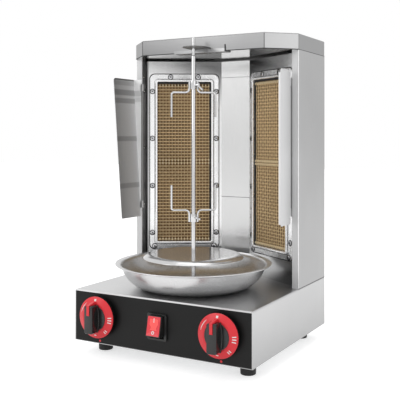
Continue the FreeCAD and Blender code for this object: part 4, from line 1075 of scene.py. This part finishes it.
class GRILL_OT_switch(GrillPiece, bpy.types.Operator):
    """Rocker switch with its frame, lit red, with a bar and a circle"""

    bl_idname = "grill.switch"
    bl_label = "Rocker switch"

    def execute(self, context):
        black = skin("Switch black", colour("black"), 0.3, 900.0, 0.2, 0.04)
        dress(black, "switch_housing")
        side_view = rounded([(12, 5), (15, -14.2), (8, -13.4), (0, -13.1), (-8, -13.4),
                             (-15, -14.2), (-12, 5)], [0.8, 1.2, 8, 20, 8, 1.2, 0.8], 5)
        cap = laid(prism(side_view, -11.7, 11.7, 0.6, 4), (0, 0, 1), (0, 1, 0), (1, 0, 0))
        pins = tube([(-13.3, 0, 0), (13.3, 0, 0)], 1.5, (0, 0, 1), 16)
        lit = skin("Lit red plastic", (0.70, 0.04, 0.055), 0.2, 500.0, 0.08, 0.02,
                   emission_color=(1.0, 0.04, 0.05, 1.0), emission_strength=0.14)
        glow = skin("Lamp glow", (0.75, 0.09, 0.08), 0.25, 500.0, 0.3, 0.05,
                    emission_color=(1.0, 0.08, 0.08, 1.0), emission_strength=0.4)
        bar = self.over_face(0.55, 3.0, 0.2, 0.3, 0.6, 8.2)
        turn = np.linspace(0, 2 * math.pi, 33)[:-1]
        rings = []
        for r, lift in ((2.4, 0.3), (2.4, 0.6), (1.3, 0.6), (1.3, 0.3)):
            z = r * np.sin(turn) - 9.0
            rings.append(np.column_stack([r * np.cos(turn), self.face(z) - lift, z]))
        for name, shapes, slot, finish, stands_for in (
                ("body", (cap, pins), "switch_black", black, ["rocker"]),
                ("lens", [self.over_face(10.4, 13.6, 0.9, -1.0, 0.32)], "switch_red", lit,
                 ["rocker"]),
                ("pane", [self.over_face(6.8, 7.8, 1.2, 0.3, 0.42, 2.4)], "switch_red", glow,
                 ["rocker"]),
                ("marks", (bar, grid(np.stack(rings), wrap_rows=True)), "switch_red",
                 white_print(), ())):
            piece("rocker_" + name, [self.tilted(shape) for shape in shapes], slot, finish,
                  stands_for, "rocker")
        return {"FINISHED"}

    def face(self, z):
        """How far the rocker's hollow front stands from its pivot at height z: it follows
        y = -13.1 - 1.1 (z / 15)^2."""
        return -13.1 - 1.1 * (np.asarray(z) / 15) ** 2

    def over_face(self, half_width, half_height, radius, low, high, middle=0.0):
        """A rounded rectangle laid on the hollow front, from low to high in front of it. Its
        outline is drawn in towards the middle in nine steps that carry the front's curve."""
        outline = rounded(rectangle(-half_width, half_width, -half_height, half_height), radius, 4)
        shares = np.concatenate([[1, 1], np.linspace(1, 0, 10)[1:-1], [0.001]])[:, None]
        lifts = np.where(np.arange(len(shares)) > 0, high, low)[:, None]
        x, z = outline[:, 0] * shares, outline[:, 1] * shares + middle
        return grid(np.stack([x, self.face(z) - lifts, z], -1), caps=True)

    def tilted(self, shape):
        """A shape of the level rocker, turned 12 degrees about its pivot."""
        c, s = math.cos(math.radians(-12)), math.sin(math.radians(-12))
        return laid(shape, (1, 0, 0), (0, c, s), (0, -s, c), (0, -136.8, 59.5))


class GRILL_OT_fittings(GrillPiece, bpy.types.Operator):
    """Gas way, motor, inlets and other fittings that keep their solids"""

    bl_idname = "grill.fittings"
    bl_label = "Fittings"

    def execute(self, context):
        brass = sheet_steel("Turned brass", colour("brass"), EVEN, 0.24, grain=0.12)
        for side, _ in SIDES:
            dress(brass, side + "_gas_line", side + "_gas_valve", side + "_valve_plug")
        dress(brass, "gas_inlet")
        dress(plain_zinc(), "motor_bracket", "gas_manifold")
        dress(skin("Motor paint", (0.2, 0.21, 0.22), 0.45), "drive_motor")
        dress(skin("Gland black", colour("black"), 0.5, 600.0, 0.2, 0.15), "power_gland")
        return {"FINISHED"}


class GRILL_OT_stage(GrillPiece, bpy.types.Operator):
    """Pale floor, soft lamps, world and camera"""

    bl_idname = "grill.stage"
    bl_label = "Stage"

    def execute(self, context):
        self.floor(context)
        self.world(context)
        self.lamps()
        self.camera(context)
        context.scene.view_settings.view_transform = "Standard"
        return {"FINISHED"}

    def floor(self, context):
        """A flat square that the camera sees pale, with the grill's shadow on it."""
        half = context.scene.grill_sizes.floor_size / 2
        mesh = bpy.data.meshes.new("floor")
        mesh.from_pydata(at_level(rectangle(-half, half, -half, half), 0).tolist(),
                         [], [(0, 1, 2, 3)])
        material = bpy.data.materials.new("Pale floor")
        material.use_nodes = True
        tree = material.node_tree
        feed(tree, tree.nodes["Principled BSDF"], {
            "Base Color": (0.8, 0.8, 0.8, 1), "Roughness": 0.9, "Emission Color": (1, 1, 1, 1),
            "Emission Strength": worked(tree, "MULTIPLY", self.seen(tree), 0.55)})
        mesh.materials.append(material)
        stood("floor", mesh)

    def seen(self, tree):
        """1 for what the camera sees, straight or in gloss or glass."""
        path = add(tree, "ShaderNodeLightPath").outputs
        first = worked(tree, "ADD", path["Is Camera Ray"], path["Is Glossy Ray"], use_clamp=True)
        return worked(tree, "ADD", first, path["Is Transmission Ray"], use_clamp=True)

    def world(self, context):
        """White where it is seen, and a little weaker as a light."""
        world = bpy.data.worlds.new("Pale studio")
        world.use_nodes = True
        tree = world.node_tree
        feed(tree, tree.nodes["Background"], {
            "Color": (1, 1, 1, 1), "Strength": ranged(tree, self.seen(tree), 0.0, 1.0, 0.8, 1.0)})
        context.scene.world = world

    def lamps(self):
        """Large soft lamps, aimed at the grill's middle."""
        aim = np.array([0, 0, 0.25])
        for name, at, side, power in (("key", (-1.5, -2.1, 1.4), 1.2, 12.0),
                                      ("fill", (2.2, -0.9, 1.2), 1.4, 5.0),
                                      ("top", (0.0, 0.2, 2.4), 1.6, 8.0)):
            lamp = bpy.data.lights.new(name, "AREA")
            lamp.shape, lamp.size, lamp.energy = "SQUARE", side, power
            thing = stood(name, lamp)
            thing.location = at
            thing.rotation_euler = direction_to(aim - np.array(at))

    def camera(self, context):
        """The photograph's camera, level, with the picture shifted down instead of tilted."""
        view = bpy.data.cameras.new("camera")
        view.sensor_width, view.lens, view.shift_y = 36.0, 65.45, -0.1598
        view.clip_start, view.clip_end = 0.05, 60.0
        camera = stood("camera", view)
        camera.location = (0.5637, -1.0148, 0.3320)
        camera.rotation_euler = (math.radians(90), 0, math.radians(29.44))
        context.scene.camera = camera


def direction_to(way):
    """Euler angles that point a lamp's own -Z along a direction."""
    x, y, z = way / np.linalg.norm(way)
    return math.acos(-z), 0, math.atan2(y, x) - math.pi / 2


class GRILL_PT_panel(bpy.types.Panel):
    """The grill's pieces in the sidebar"""

    bl_idname = "GRILL_PT_panel"
    bl_label = "Doner kebab grill"
    bl_space_type = "VIEW_3D"
    bl_region_type = "UI"
    bl_category = "Grill"

    def draw(self, context):
        for group in (context.scene.grill_sizes, context.scene.grill_colours):
            box = self.layout.box()
            for name in group.bl_rna.properties.keys():
                if name not in ("rna_type", "name"):
                    box.prop(group, name)
        for operator in PIECES:
            self.layout.operator(operator.bl_idname)


PIECES = (GRILL_OT_base, GRILL_OT_tower, GRILL_OT_hood, GRILL_OT_shields, GRILL_OT_burners,
          GRILL_OT_spit, GRILL_OT_drip_pan, GRILL_OT_knobs, GRILL_OT_switch, GRILL_OT_fittings,
          GRILL_OT_stage)
CLASSES = (GrillSizes, GrillColours, *PIECES, GRILL_PT_panel)


def register():
    for item in CLASSES:
        bpy.utils.register_class(item)
    bpy.types.Scene.grill_sizes = PointerProperty(type=GrillSizes)
    bpy.types.Scene.grill_colours = PointerProperty(type=GrillColours)


def unregister():
    del bpy.types.Scene.grill_colours
    del bpy.types.Scene.grill_sizes
    for item in reversed(CLASSES):
        bpy.utils.unregister_class(item)


def main():
    """Build every piece."""
    register()
    for operator in PIECES:
        group, name = operator.bl_idname.split(".")
        getattr(getattr(bpy.ops, group), name)()


if __name__ == "__main__":
    main()
